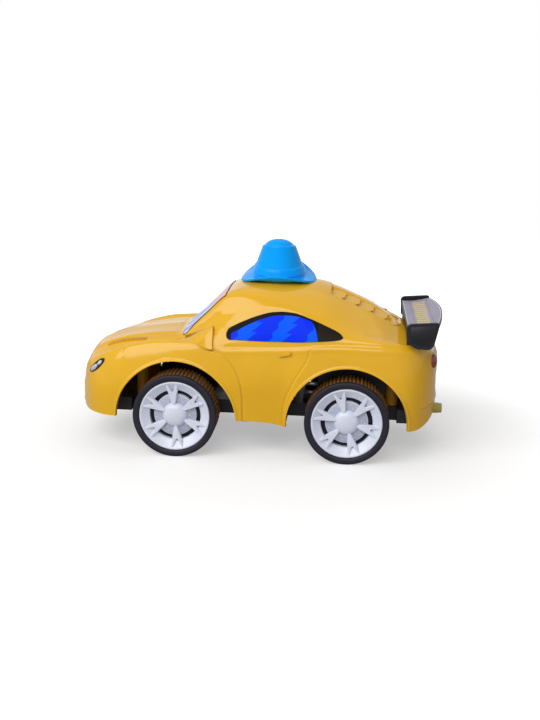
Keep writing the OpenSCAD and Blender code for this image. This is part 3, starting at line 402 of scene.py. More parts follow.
spoke_form = bmesh.new()
prism(spoke_form, spoke_layer(0.0, -3.9, 0.0), spoke_layer(0.0, -2.3, SPOKE_RISE))
prism(spoke_form, spoke_layer(0.0, -2.32, SPOKE_RISE), spoke_layer(0.4, -1.7, SPOKE_RISE))


def pip(radius, height):
    form = bmesh.new()
    turned(form, [(0.3, -0.1), (0.26, 0.12), (0.12, 0.2)], 6, closed=False)
    bmesh.ops.holes_fill(form, edges=form.edges)
    bmesh.ops.translate(form, vec=(radius, 0, height), verts=form.verts)
    return form


pips = [ring_of(pip(7.5, -3.42), 18, 0.08, white_plastic), ring_of(pip(9.2, -3.47), 18, 0.25, white_plastic),
        ring_of(pip(4.3, -1.3), 6, 0.4, white_plastic)]
rim_mesh = gathered(as_mesh(ring_form), ring_of(spoke_form, SPOKES, 0.0, white_plastic), *pips)
for end, side, x, way in WHEELS:
    turned_rim = rim_mesh.copy()
    turned_rim.transform(Matrix.Rotation(radians(RIM_TURNS[end]), 4, "Z"))
    rim = add_piece(f"clip_rim_{end}_{side}", on_wheel(turned_rim, x, way), white_plastic, sharp=30)
    rim.data.materials.append(grey_disc)
    for face in rim.data.polygons:
        across = sqrt((face.center.x - x * MM) ** 2 + (face.center.z - WHEEL_R * MM) ** 2)
        depth = OUTER_FACE * MM - abs(face.center.y)
        flat = abs(face.normal.y) > 0.9 and face.area > DISC_LEAST_FACE
        if flat and DISC_FROM < across < DISC_TO and depth > DISC_DEPTH:
            face.material_index = 1
    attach(rim, end + "_wheel_set")
    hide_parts(f"rim_{end}_{side}")

# Body shell: one glossy yellow moulding, open below, with the fenders, doors, belt
# line, window frames, hood panel and louvre panel formed in its skin. The wall is
# two millimetres thick and the wheel arches are cut through it.
NOSE, TAIL = -94.0, 91.0
HALF_WIDTH, DOOR_INSET = 40.0, 1.2
FRONT_TAPER, REAR_TAPER = -60.0, 62.02
ARCH_R, ARCH_Z = 30.4, 18.4
WALL = 2.0
# Each row: x, lower edge, inset of the shoulder, its height, height of the middle,
# then width and rise of the two points between shoulder and middle.
BODY_LINES = np.array([
    (-94, 19.6, 2, 28.1, 30.5, 0.8, 0.45, 0.55, 0.75), (-91, 19.3, 3, 38.1, 43.1, 0.8, 0.4, 0.56, 0.7),
    (-87.5, 18.8, 4, 43.3, 48.1, 0.8, 0.25, 0.56, 0.65), (-80, 18.8, 5, 48, 52.2, 0.79, -0.02, 0.55, 0.72),
    (-65.5, 19.3, 5.5, 54.1, 56.4, 0.78, -0.35, 0.57, 0.72), (-51.5, 19.8, 5.5, 57.1, 58.7, 0.77, -0.4, 0.58, 0.7),
    (-41.5, 20.3, 5, 57.6, 60, 0.76, -0.25, 0.61, 0.66), (-38, 20.3, 4.5, 57.3, 61.7, 0.74, 0.2, 0.63, 0.8),
    (-27.5, 20.3, 4, 57.9, 71.5, 0.715, 0.56, 0.625, 0.9), (-17, 19.8, 3.6, 58.5, 81.5, 0.745, 0.58, 0.61, 0.93),
    (-6, 19.3, 3.2, 59.1, 85.9, 0.795, 0.56, 0.64, 0.86), (8, 18.5, 3, 59.4, 87.1, 0.84, 0.54, 0.66, 0.81),
    (28, 17.3, 3, 59.9, 85.8, 0.825, 0.47, 0.61, 0.76), (50.05, 17.3, 3.2, 60.3, 78.5, 0.8, 0.35, 0.6, 0.6),
    (60.06, 17.3, 3.2, 60.1, 73.3, 0.81, 0.26, 0.61, 0.54), (68.98, 17.3, 3.5, 59.4, 67.5, 0.83, 0.18, 0.63, 0.43),
    (78.99, 17.3, 3.5, 58.1, 61.6, 0.82, 0.2, 0.6, 0.5), (86, 19.8, 3.5, 55.1, 58.1, 0.8, 0.3, 0.56, 0.55),
    (91, 24.3, 2.2, 49.1, 52.1, 0.8, 0.45, 0.55, 0.75)])
DOOR_LINE = np.array([(-94, 0), (-20.5, 0), (-6.5, 1), (11.5, 1), (25.5, 0), (91, 0)])


def through(keys, x, column=1):
    """Smooth line without overshoot through rows of keys, read at x."""
    kx, ky = keys[:, 0], keys[:, column]
    rise = np.diff(ky) / np.diff(kx)
    both = rise[:-1] * rise[1:]
    inner = np.where(both > 0, 2 * both / np.where(both > 0, rise[:-1] + rise[1:], 1), 0)
    slope = np.concatenate([rise[:1], inner, rise[-1:]])
    i = np.clip(np.searchsorted(kx, x) - 1, 0, len(kx) - 2)
    h = kx[i + 1] - kx[i]
    t = np.clip((x - kx[i]) / h, 0, 1)
    return ((2 * t**3 - 3 * t**2 + 1) * ky[i] + (t**3 - 2 * t**2 + t) * h * slope[i]
            + (3 * t**2 - 2 * t**3) * ky[i + 1] + (t**3 - t**2) * h * slope[i + 1])


def blend(low, high, t):
    return low * (1 - t) + high * t


def ramp(value, start, end):
    t = np.clip((value - start) / (end - start), 0, 1)
    return t * t * (3 - 2 * t)


def hump(distance, width):
    return np.exp(-((distance / width) ** 2))


def plan(x):
    """Half width of the body in plan, as a part of its full half width."""
    front = np.clip((FRONT_TAPER - x) / (FRONT_TAPER - NOSE), 0, 1)
    rear = np.clip((x - REAR_TAPER) / (TAIL - REAR_TAPER), 0, 1)
    return (1 - front**2.6) ** (1 / 2.2) * (1 - rear**3) ** (1 / 2.2)


def skin(x, q):
    """Point of the skin at x; q runs from 0 at the left sill over 6 in the middle to 12."""
    t = 6 - np.abs(q - 6)
    row = [through(BODY_LINES, x, c) for c in range(1, 9)]
    part = plan(x)
    half = part * (HALF_WIDTH - DOOR_INSET * through(DOOR_LINE, x))
    low = row[0] + (0.25 * hump(x - 3, 5) - 0.7 * hump(x - 15, 4)) * (np.abs(x - 5) < 12)
    shoulder = row[2]
    top = blend(shoulder, row[3], np.where(x > 0, np.minimum(1, 0.15 + part / 0.45), 1))
    by = half - row[1] * np.minimum(1, part / 0.22)
    edge_y, edge_z = by * row[6], blend(shoulder, top, row[7])
    # Seven points from the sill to the middle, with a smooth line through them.
    gy = np.stack([half - 1.5 * part, half, by, by * row[4], edge_y, edge_y * 0.55, 0 * x])
    gz = np.stack([low, blend(low, shoulder, 0.52), shoulder, blend(shoulder, top, row[5]), edge_z,
                   blend(edge_z, top, 0.72), top])
    i = np.clip(t.astype(int), 0, 5)
    u = t - i
    n = np.arange(len(x))

    def line(g, mirror):
        a, b, c = g[np.maximum(i - 1, 0), n], g[i, n], g[i + 1, n]
        d = np.where(i == 5, mirror * g[5, n], g[np.minimum(i + 2, 6), n])
        return 0.5 * (2 * b + (c - a) * u + (2 * a - 5 * b + 4 * c - d) * u**2 + (3 * b - a - 3 * c + d) * u**3)

    # Near the tail the line above the shoulder would fold over, so its height is held.
    bulge = np.maximum(gz[2], gz[3]) + 3 * (1 - ramp(x, 80, 88))
    z = np.where((i == 2) & (x > 80), np.minimum(line(gz, 1), bulge), line(gz, 1))
    return np.stack([x, np.where(q < 6, -1, 1) * line(gy, -1), z], axis=1)


def skin_normal(x, q):
    e = 0.03
    along = skin(np.minimum(x + e, TAIL), q) - skin(np.maximum(x - e, NOSE), q)
    round_ = skin(x, np.minimum(q + e, 12)) - skin(x, np.maximum(q - e, 0))
    out = np.cross(along, round_)
    size = np.linalg.norm(out, axis=1)
    flat = size < 1e-7
    out[flat] = np.stack([np.where(x < 0, -1, 1), 0 * x, 0 * x], axis=1)[flat]
    return out / np.where(flat, 1, size)[:, None]


def q_of_height(x, z, start, end):
    """Where on the left half of the section the skin reaches height z."""
    low, high = np.full(len(x), start), np.full(len(x), end)
    for _ in range(40):
        middle = (low + high) / 2
        under = skin(x, middle)[:, 2] < z
        low, high = np.where(under, middle, low), np.where(under, high, middle)
    return (low + high) / 2


def rounded(points, count=10):
    """Line of many points through a few, rounded at each."""
    p = np.array(points, float)
    p = np.vstack([2 * p[0] - p[1], p, 2 * p[-1] - p[-2]])
    u = np.linspace(0, 1, count, endpoint=False)[:, None]
    spans = [0.5 * (2 * b + (c - a) * u + (2 * a - 5 * b + 4 * c - d) * u**2 + (3 * b - a - 3 * c + d) * u**3)
             for a, b, c, d in zip(p[:-3], p[1:-2], p[2:-1], p[3:])]
    return np.vstack(spans + [p[-2:-1]])


def gap_to(line, x, z):
    """Distance from each (x, z) to a line of points, and the side of it: 1 left of its run."""
    best, side = np.full(len(x), 1e9), np.ones(len(x))
    for (x0, z0), (x1, z1) in zip(line[:-1], line[1:]):
        dx, dz = x1 - x0, z1 - z0
        t = np.clip(((x - x0) * dx + (z - z0) * dz) / (dx * dx + dz * dz), 0, 1)
        d = np.hypot(x - x0 - t * dx, z - z0 - t * dz)
        closer = d < best
        best = np.where(closer, d, best)
        side = np.where(closer, np.sign(dx * (z - z0) - dz * (x - x0)), side)
    return best, side


DOOR_FRONT = rounded([(-38, 58.4), (-30.3, 57.6), (-24.1, 55.7), (-17.1, 53), (-12.5, 49), (-8.9, 42.4), (-7.3, 36.8),
                      (-6.6, 30.5), (-6.5, 22.8), (-6.5, 15.8)])
DOOR_REAR = rounded([(26.6, 58.4), (26.3, 56.4), (24.5, 50.9), (20.3, 43.8), (16.6, 36.4), (14.5, 30.6), (13.6, 25.7),
                     (13.4, 20.8), (13.4, 15.8)])
WINDOW_TOP = np.array([(-15.5, 63.2), (-14.6, 65.1), (-10.8, 67.3), (-4.5, 70.2), (1, 72.3), (6, 73.7), (11.2, 74.2),
                       (17.2, 73.8), (25.3, 71.5), (34, 68.1), (40.4, 65.2), (42.1, 63.6)])
WINDOW_LOW = np.array([(-15.5, 61.8), (-14.9, 60.7), (-13.8, 60.2), (0, 60.1), (15.8, 60.3), (30, 61.2), (39.7, 62.1),
                       (41.4, 62.7), (42.1, 63.3)])
FRAME_ARC = rounded([(-17.5, 65.3), (-15.7, 67.8), (-12.4, 69.8), (-7.7, 72.1), (-2.6, 73.8), (2.1, 75.1), (5.5, 75.6),
                     (8.9, 75.7), (12.4, 75.5), (15.8, 74.8), (26, 72.6), (35, 69), (42.5, 65.3)], 5)
BELT_LINE = np.array([(-30, 55.6), (-22, 55.8), (11, 56.9), (41, 59.3), (70, 58.8), (86, 57.6)])
SIDE_TICKS = [rounded([(-65.9, 53), (-66.4, 51.2), (-66.7, 49.6)]), rounded([(36.2, 54.6), (39, 53.5), (42, 51.9)])]
SEAM_DEPTH, SEAM_WIDTH = 0.42, 0.42
LOUVRE_X, LOUVRE_ROUND_X = (35.4, 70.6), 62
AIR_MOUTH, FRONT_PLATE, REAR_PLATE = (19, 3.6, 26.4), (11.5, 2.7, 35.2), (14, 5, 37.3)
TAIL_LAMP_Y, TAIL_LAMP_Z = 21, 50.3
FLAT_STEP = 10


def louvre_half(x):
    """Half width of the louvre panel, rounded at its rear end."""
    end = np.clip((x - LOUVRE_ROUND_X) / (LOUVRE_X[1] - LOUVRE_ROUND_X), 0, 1)
    return 15.0 * np.sqrt(np.clip(1 - 0.75 * end**3, 0, 1))


def within(y, z, box):
    """Depth of each point inside a box of a half width and half height round a height."""
    half_width, half_height, middle = box
    return np.minimum(half_width - y, half_height - np.abs(z - middle))


def relief(at):
    """How far the moulded forms stand out of the plain skin, in millimetres."""
    x, y, z = at[:, 0], np.abs(at[:, 1]), at[:, 2]
    side = ramp(y, 24, 29) * (z < 62.8)
    lift = 0 * x
    # Doors: the panel outside each edge stands proud, with a seam along it.
    for door, outside, proud, seam_top in ((DOOR_FRONT, -1, 0.45, 56.4), (DOOR_REAR, 1, 0.3, 58.4)):
        gap, way = gap_to(door, x, z)
        lift += side * (proud * np.exp(-gap / 7) * ramp(outside * way * gap, -0.6, 0.6)
                        - SEAM_DEPTH * hump(gap, SEAM_WIDTH) * ramp(seam_top - z, 0, 2))
    # Belt line along the side.
    belt = through(BELT_LINE, np.clip(x, -30, 86))
    along = ramp(x, -20, -12) * ramp(84 - x, 0, 14) * (y > 25)
    lift += along * (0.3 * hump(z - belt + 1.4, 1.4) - 0.28 * hump(z - belt - 0.8, 1.0))
    # Frame over the side window, and small marks on the fenders.
    gap, way = gap_to(FRAME_ARC, x, z)
    over = ramp(z, 60.4, 62.8) * (y > 20) * (1 - 0.75 * ramp(x, 10, 30))
    lift += over * 0.24 * np.where(way > 0, hump(gap, 2.6), hump(gap, 0.7))
    for tick in SIDE_TICKS:
        lift += (y > 30) * 0.18 * hump(gap_to(tick, x, z)[0], 0.55)
    # Hood panel with a crease in the middle and hollows beside it.
    hood = ramp(x, -90, -83) * ramp(-40.5 - x, 0, 3.5)
    panel = 19.5 + 0.13 * (x + 42)
    lift += hood * (0.55 * ramp(panel - y, -0.5, 0.5) + 0.55 * np.clip(1 - y / 7, 0, 1)
                    - 0.35 * hump(y - panel - 1.2, 1.0) - 0.5 * hump(y - 27.5, 2.4) * ramp(x, -80, -70))
    # Louvre panel, with the two deeper columns that the slats lie in.
    roof = (x > 20) * (z > 58.8) * (y < 24)
    edge = np.minimum(np.minimum(x - LOUVRE_X[0], LOUVRE_X[1] - x), louvre_half(x) - y)
    column = np.minimum(np.minimum(x - LOUVRE_X[0], 66.6 - x), np.minimum(14.7 - y, y - 3.9))
    lift += roof * (-0.35 * ramp(edge, -0.25, 0.25) - 1.5 * ramp(column, -0.25, 0.25)
                    + 0.4 * hump(edge + 0.9, 0.7) * ramp(x, 58, 66))
    # Air mouth and plate recess of the nose.
    nose = x < -84
    mouth = within(y, z, AIR_MOUTH)
    lift += nose * (-1.2 * ramp(mouth, -0.5, 0.5) + 0.3 * hump(mouth + 0.9, 0.7))
    lift -= nose * 0.45 * ramp(within(y, z, FRONT_PLATE), -0.35, 0.35)
    # Plate recess, bumper line and lamp rims of the tail.
    back = x > 82
    lift -= back * 0.7 * ramp(within(y, z, REAR_PLATE), -0.4, 0.4)
    lift += back * (0.35 * hump(z - 29.3, 0.9) - 0.3 * hump(z - 27.8, 0.8))
    lamp = np.hypot(y - TAIL_LAMP_Y, z - TAIL_LAMP_Z) - 4.3
    lift += back * 0.25 * hump(lamp, 0.7)
    # Lips of the wheel arches.
    for axle in (FRONT_X, REAR_X):
        rim_gap = np.hypot(x - axle, z - ARCH_Z) - ARCH_R
        lift += side * 0.4 * ramp(1.5 - rim_gap, 0, 0.8) * (rim_gap > -3)
    return lift


def arch_gap(at):
    """Distance outside the nearer wheel arch, far away where the arch isn't cut."""
    x, y, z = at[:, 0], np.abs(at[:, 1]), at[:, 2]
    gap = np.minimum(np.hypot(x - FRONT_X, z - ARCH_Z), np.hypot(x - REAR_X, z - ARCH_Z)) - ARCH_R
    return np.where(y > 22.5, gap, 50)


def places(form):
    """Where the points of the unrolled shell lie on the skin, as x and q."""
    flat = np.array([v.co for v in form.verts])
    return flat[:, 0], np.clip(flat[:, 1] / FLAT_STEP, 0, 12)


def shell_form():
    """The shell unrolled flat, with finer faces at its relief, door lines and arches."""
    nose_steps = [0.0, 0.03, 0.13, 0.36, 0.8, 1.5, 2.4, 3.3]
    tail_steps = [0.0, 0.03, 0.12, 0.32, 0.7, 1.3, 2.1, 3.0]
    columns = [NOSE + s for s in nose_steps] + list(np.linspace(NOSE + 4.3, TAIL - 4, 150)) \
        + [TAIL - s for s in reversed(tail_steps)]
    per_span = [18, 20, 14, 9, 12, 12]
    half = [i + k / count for i, count in enumerate(per_span) for k in range(count)]
    rows = half + [6.0] + [12 - t for t in reversed(half)]
    form = bmesh.new()
    grid = [[form.verts.new((x, q * FLAT_STEP, 0)) for q in rows] for x in columns]
    for one, two in zip(grid[:-1], grid[1:]):
        for a, b, c, d in zip(one[:-1], two[:-1], two[1:], one[1:]):
            form.faces.new((a, b, c, d))
    for swing, seam, rim in ((0.1, 1.1, 1.0), (0.16, 0.55, 0.0)):
        form.verts.index_update()
        base = skin(*places(form))
        out = relief(base)
        near = np.minimum(*[gap_to(door, base[:, 0], base[:, 2])[0] for door in (DOOR_FRONT, DOOR_REAR)])
        near = np.where((np.abs(base[:, 1]) > 28) & (base[:, 2] < 58.8), near, 50)
        cut = np.abs(arch_gap(base))
        chosen = set()
        for face in form.faces:
            at = [v.index for v in face.verts]
            if np.ptp(out[at]) > swing or near[at].min() < seam or cut[at].min() < rim:
                chosen.update(face.edges)
        bmesh.ops.subdivide_edges(form, edges=list(chosen), cuts=1, use_grid_fill=True)
    return form


def trimmed(form):
    """Moves the points beside an arch on to it and takes away what lies inside."""
    form.verts.index_update()
    x, q = places(form)
    gap = arch_gap(skin(x, q))
    reach = 0.42 * np.array([np.mean([e.calc_length() for e in v.link_edges]) for v in form.verts])
    beside = np.abs(gap) < np.clip(reach, 0.3, 0.42)
    for _ in range(4):
        e = 0.01
        here = arch_gap(skin(x, q))
        dx = (arch_gap(skin(x + e, q)) - here) / e
        dq = (arch_gap(skin(x, np.clip(q + e, 0, 12))) - here) / e
        size = dx**2 + (dq / 12) ** 2 + 1e-9
        good = beside & (np.abs(here) < 2) & (q > 0.001) & (q < 11.999)
        x = np.where(good, x - here * dx / size, x)
        q = np.where(good, np.clip(q - here * dq / 144 / size, 0, 12), q)
        sill = beside & (np.abs(here) < 2) & ~good
        x = np.where(sill, x - here / np.where(np.abs(dx) > 0.05, dx, 1), x)
    gap = arch_gap(skin(x, q))
    gap[beside & (np.abs(gap) < 0.05)] = 0
    for face in list(form.faces):
        if len(face.verts) != 4:
            continue
        g = [gap[v.index] for v in face.verts]
        for a in (0, 1):
            if g[a] == 0 and g[a + 2] == 0 and g[a + 1] * g[(a + 3) % 4] < 0:
                bmesh.utils.face_split(face, face.verts[a], face.verts[a + 2])
                break
    gone = [f for f in form.faces if np.mean([gap[v.index] for v in f.verts]) < -1e-6]
    for vert in form.verts:
        vert.co = (x[vert.index], q[vert.index] * FLAT_STEP, 0)
    bmesh.ops.delete(form, geom=gone, context="FACES")
    return form


def raised(form):
    """Rolls the flat shell up on the skin and lifts its relief."""
    x, q = places(form)
    base = skin(x, q)
    spots = base + skin_normal(x, q) * relief(base)[:, None]
    middle = (x <= NOSE + 1e-6) | (x >= TAIL - 1e-6)
    spots[middle, 1] = 0
    for vert, spot in zip(form.verts, spots):
        vert.co = spot
    bmesh.ops.remove_doubles(form, verts=form.verts, dist=0.01)
    top = max(form.faces, key=lambda f: f.calc_center_median().z)
    top.normal_update()
    if top.normal.z < 0:
        bmesh.ops.reverse_faces(form, faces=form.faces)
    return form


def finished(piece, *steps):
    """Applies modifiers, given as (kind, settings), and keeps the plain mesh."""
    for kind, settings in steps:
        step = piece.modifiers.new(kind.lower(), kind)
        for key, value in settings.items():
            setattr(step, key, value)
    mesh = plain_mesh(piece)
    piece.modifiers.clear()
    name = piece.data.name
    piece.data = mesh
    mesh.name = name


def eased_edges(width, angle, segments=2):
    """Rounds edges sharper than an angle in degrees over a width in millimetres."""
    return "BEVEL", {
        "width": width * MM, "segments": segments, "limit_method": "ANGLE", "angle_limit": radians(angle)}


yellow_plastic = moulded_finish(
    "yellow_plastic", (0.74, 0.41, 0.012), (0.7, 0.375, 0.01), (0.85, 0.55, 0.08), (0.08, 0.16),
    grain=1500.0, relief=0.003, wear=0.25, shine=0.3)
shell = add_piece("moulded_shell", as_mesh(raised(trimmed(shell_form())), outward=False), yellow_plastic, sharp=50)
finished(shell, ("SOLIDIFY", {"thickness": WALL * MM, "offset": -1.0, "use_even_offset": False}),
         eased_edges(0.25, 80))
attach(shell, "car_body")
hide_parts("body_shell")

# Fittings of the shell: wedge-shaped mirrors, door handles and hollow screw posts,
# moulded in one with it of the same plastic, the posts darker with painted shade for
# lying inside, and one olive exhaust tip that is pushed in under the tail.
POST_X, POST_Y, POST_FOOT, POST_TOP = (-61.0, 68.0), 15.8, 25.3, 54.8


def hull(points):
    form = bmesh.new()
    for point in points:
        form.verts.new(point)
    bmesh.ops.convex_hull(form, input=form.verts)
    bmesh.ops.dissolve_limit(form, angle_limit=radians(1), verts=form.verts, edges=form.edges)
    return form


def both_sides(form):
    """Adds the mirror image of a form across the middle of the car."""
    there = bmesh.ops.duplicate(form, geom=form.verts[:] + form.edges[:] + form.faces[:])["geom"]
    bmesh.ops.scale(form, vec=(1, -1, 1), verts=[v for v in there if isinstance(v, bmesh.types.BMVert)])
    return form


def yellow_fitting(name, form, *steps, finish=yellow_plastic):
    piece = add_piece(name, as_mesh(form), finish)
    finished(piece, *steps)
    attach(piece, "car_body")
    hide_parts("body_shell")


mirror_form = hull([
    (-22.4, -33.2, 66), (-22.4, -27.8, 66), (-21.7, -39.5, 55.6), (-21.9, -31, 56), (-25, -38.7, 55.6),
    (-29.3, -38, 57.2), (-31.5, -35.2, 58.3), (-28.3, -29, 62.2), (-25.9, -29.5, 64.4), (-38.5, -25, 58.9),
    (-30, -31, 57.2)])
yellow_fitting("mirror_wedges", both_sides(mirror_form), eased_edges(0.7, 18, segments=3))


def on_side(x, z, out):
    """Points on the left side of the shell at x and z, out millimetres proud of it."""
    q = q_of_height(x, z, 0.3, 4.6)
    base = skin(x, q)
    return base + skin_normal(x, q) * (relief(base) + out)[:, None]


def sheet_form(grid_low, grid_high):
    """Closed thin solid between two grids of points of the same size."""
    form = bmesh.new()
    low = [[form.verts.new(p) for p in line] for line in grid_low]
    high = [[form.verts.new(p) for p in line] for line in grid_high]
    n, m = len(low), len(low[0])
    for i in range(n - 1):
        for j in range(m - 1):
            form.faces.new((high[i][j], high[i + 1][j], high[i + 1][j + 1], high[i][j + 1]))
            form.faces.new((low[i][j], low[i][j + 1], low[i + 1][j + 1], low[i + 1][j]))
    border = [(i, 0) for i in range(n)] + [(n - 1, j) for j in range(1, m)] \
        + [(i, m - 1) for i in range(n - 2, -1, -1)] + [(0, j) for j in range(m - 2, 0, -1)]
    for (a, b), (c, d) in zip(border, border[1:] + border[:1]):
        form.faces.new((low[a][b], low[c][d], high[c][d], high[a][b]))
    return form


def side_sheet(columns, low_z, high_z, rows, out, thick):
    """Sheet on the left side over columns of x, from a lower to an upper line."""
    x = np.repeat(columns[:, None], rows, 1)
    z = low_z[:, None] + (high_z - low_z)[:, None] * np.linspace(0, 1, rows)[None, :]
    back, top = [on_side(x.ravel(), z.ravel(), lift).reshape(*x.shape, 3) for lift in (out - thick, out)]
    return sheet_form(back, top)


handle_x = np.linspace(10.8, 17.2, 15)
ends = np.sqrt(np.clip(1 - np.abs((handle_x - 14) / 3.25) ** 5, 0, 1))
handle_mid = 53.9 + 0.2 * (handle_x - 10.8)
yellow_fitting("door_handles", both_sides(side_sheet(
    handle_x, handle_mid - 0.95 * ends - 0.05, handle_mid + 0.95 * ends + 0.05, 9, 1.3, 2.0)),
    eased_edges(0.25, 50))

post_form = bmesh.new()
for post_x in POST_X:
    at = np.array([post_x])
    top = skin(at, q_of_height(at, np.array([POST_TOP]), 3.2, 6.0))[0, 2]
    for post_y in (-POST_Y, POST_Y):
        before = len(post_form.verts)
        turned(post_form, [(1.3, POST_FOOT), (3.25, POST_FOOT), (3.25, top), (1.3, top)], 32)
        post_form.verts.ensure_lookup_table()
        bmesh.ops.translate(post_form, vec=(post_x, post_y, 0), verts=post_form.verts[before:])
# The posts' darker brown is painted shade, for the shadow they lie in inside the shell.
shaded_plastic = moulded_finish(
    "shaded_plastic", (0.4, 0.18, 0.008), (0.33, 0.14, 0.006), (0.5, 0.26, 0.03), (0.2, 0.35), shine=0.25)
yellow_fitting("screw_posts", post_form, finish=shaded_plastic)

exhaust_form = bmesh.new()
turned(exhaust_form, [
    (1.7, 90.2), (1.7, 93.4), (1.95, 93.85), (2.25, 94), (2.45, 93.8), (2.5, 93.4), (2.5, 92.4), (2.7, 92),
    (2.75, 88), (0, 88), (0, 90.2)], 40, closed=False)
TO_REAR = Matrix.Rotation(radians(90), 3, "Y")
bmesh.ops.rotate(exhaust_form, cent=(0, 0, 0), matrix=TO_REAR, verts=exhaust_form.verts)
bmesh.ops.translate(exhaust_form, vec=(0, -12, 23.3), verts=exhaust_form.verts)
olive_plastic = moulded_finish(
    "olive_plastic", (0.36, 0.3, 0.07), (0.3, 0.25, 0.06), (0.5, 0.42, 0.12), (0.15, 0.3), shine=0.3)
yellow_fitting("exhaust_tip", exhaust_form, finish=olive_plastic)

# Hood ribs and louvre slats: two slanted rows of fine cooling ribs beside the hood
# panel, and two columns of four overlapping slats on the engine lid. They are moulded
# with the shell, each the same as the next.
HOOD_RIBS, SLATS = 15, 4
SLAT_Y, SLAT_L, SLAT_HALF, SLAT_T = 9.4, 7.2, 4.9, 1.3


def row_of_pieces():
    """Sets copies of a piece along a line, each turned to run along it."""
    tree, given = pieces_tree("row_of_pieces")
    line = node(tree, "GeometryNodeMeshToCurve", {"Mesh": given.outputs["Geometry"]})
    stops = node(tree, "GeometryNodeResampleCurve", {"Curve": line.outputs[0], "Count": given.outputs["Count"]})
    run = node(tree, "GeometryNodeInputTangent")
    turn = node(tree, "FunctionNodeAlignRotationToVector", {"Vector": run.outputs[0]}, axis="X", pivot_axis="Y")
    return set_on_points(tree, given, stops.outputs[0], turn.outputs[0])


ROW_OF_PIECES = row_of_pieces()


def row_of(form, line, count, finish):
    """Row of one form along a line of points, both in millimetres, as a mesh in metres."""
    base = bpy.data.meshes.new("line")
    base.from_pydata([Vector(p) * MM for p in line], [(i, i + 1) for i in range(len(line) - 1)], [])
    piece = bpy.data.objects.new("one_of_row", as_mesh(form))
    bpy.context.scene.collection.objects.link(piece)
    mesh = grown(ROW_OF_PIECES, base, {"Piece": piece, "Count": count, "Finish": finish})
    bpy.data.objects.remove(piece)
    return mesh


def flipped(mesh):
    """Mirror image of a mesh across the middle of the car."""
    other = mesh.copy()
    other.transform(Matrix.Scale(-1, 4, (0, 1, 0)))
    other.flip_normals()
    return other


def q_of_width(x, y):
    """Where on the left upper half of the section the skin reaches y, from the middle."""
    low, high = np.full(len(x), 2.6), np.full(len(x), 6.0)
    for _ in range(40):
        middle = (low + high) / 2
        wide = -skin(x, middle)[:, 1] > np.abs(y)
        low, high = np.where(wide, middle, low), np.where(wide, high, middle)
    return (low + high) / 2


def on_top(x, y, out):
    """Points on the upper skin at x and y, out millimetres proud of it."""
    q = q_of_width(x, y)
    base = skin(x, q)
    spots = base + skin_normal(x, q) * (relief(base) + out)[:, None]
    spots[:, 1] *= np.where(np.asarray(y) > 0, -1, 1)
    return spots


rib_x = np.linspace(-77.5, -57.6, 40)
rib_line = on_top(rib_x, -(17.5 + 0.256 * (rib_x + 77.5)), 0.0)
hood_rib = hull([(x + 0.55 * y, y, z) for x, z in ((-0.42, -0.5), (0.42, -0.5), (-0.22, 0.42), (0.22, 0.42))
                 for y in (-1.8, 1.8)])
left_ribs = row_of(hood_rib, rib_line, HOOD_RIBS, yellow_plastic)
hood_ribs = add_piece("hood_ribs", gathered(left_ribs, flipped(left_ribs)), yellow_plastic)
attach(hood_ribs, "car_body")
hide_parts("body_shell")

slat_x = np.linspace(35.9, 57.9, 30)
slat_line = on_top(slat_x, np.full(30, -SLAT_Y), 1.85)
slat_ring = [
    (0, -SLAT_HALF), (4.6, -SLAT_HALF), (SLAT_L, -2.2), (SLAT_L, 2.6), (4.9, SLAT_HALF), (0, SLAT_HALF)]


def slat_height(x, y):
    """Rise to the rear, bent across as the skin is round the middle of the car."""
    return -1.6 + 1.2 * x / SLAT_L - 0.0133 * ((y - SLAT_Y) ** 2 - SLAT_Y**2)


slat = bmesh.new()
prism(slat, *[[(x, y, slat_height(x, y) - down) for x, y in slat_ring] for down in (SLAT_T, 0)])
left_slats = row_of(slat, slat_line, SLATS, yellow_plastic)
louvres = add_piece("louvre_slats", gathered(left_slats, flipped(left_slats)), yellow_plastic)
finished(louvres, eased_edges(0.2, 40))
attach(louvres, "car_body")
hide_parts("body_shell")

# Body screws: zinc-plated self-tapping screws with cross heads, driven up through the
# tray into the posts of the shell, and one like them that holds the hat from inside.
dressed(screw_steel, "body_screws", "hat_screw")

# Side window labels: die-cut printed film, black with a blue pane in two tones cut by
# jagged streaks and a rear quarter of fine dots, rubbed down inside the window frame.
WINDOW_BLACK = (0.006, 0.0055, 0.006, 1)
FILM_SHINE = 0.03
DOT_PITCH, DOTS_FROM_X = 0.0009, 0.0295
BAND_PITCH, BAND_WIDTH, BAND_LEAN = 0.0173, 0.0075, -0.58
TOOTH_PITCH, TOOTH_DEPTH = 0.0046, 0.003


def film_finish(name, tree_of_colour, rough):
    """Printed film: its own print, with the faint orange peel of the lacquer over it."""
    finish, tree, surface = blank_finish(name)
    marks = node(tree, "ShaderNodeGroup", node_tree=FLOW_AND_GRAIN)
    marks.inputs["Grain Size"].default_value = 700.0
    print_colour = tree_of_colour(tree, marks)
    tree.links.new(print_colour, surface.inputs["Base Color"])
    tree.links.new(spread(tree, marks.outputs["Smear"], rough - 0.06, rough + 0.08), surface.inputs["Roughness"])
    bump = node(tree, "ShaderNodeBump", {"Strength": 0.2, "Distance": 0.02 * MM, "Height": marks.outputs["Grain"]})
    tree.links.new(bump.outputs[0], surface.inputs["Normal"])
    surface.inputs["Specular IOR Level"].default_value = FILM_SHINE
    return finish


def axes(tree):
    place = tree.nodes.new("ShaderNodeTexCoord").outputs["Object"]
    return node(tree, "ShaderNodeSeparateXYZ", {0: place}).outputs


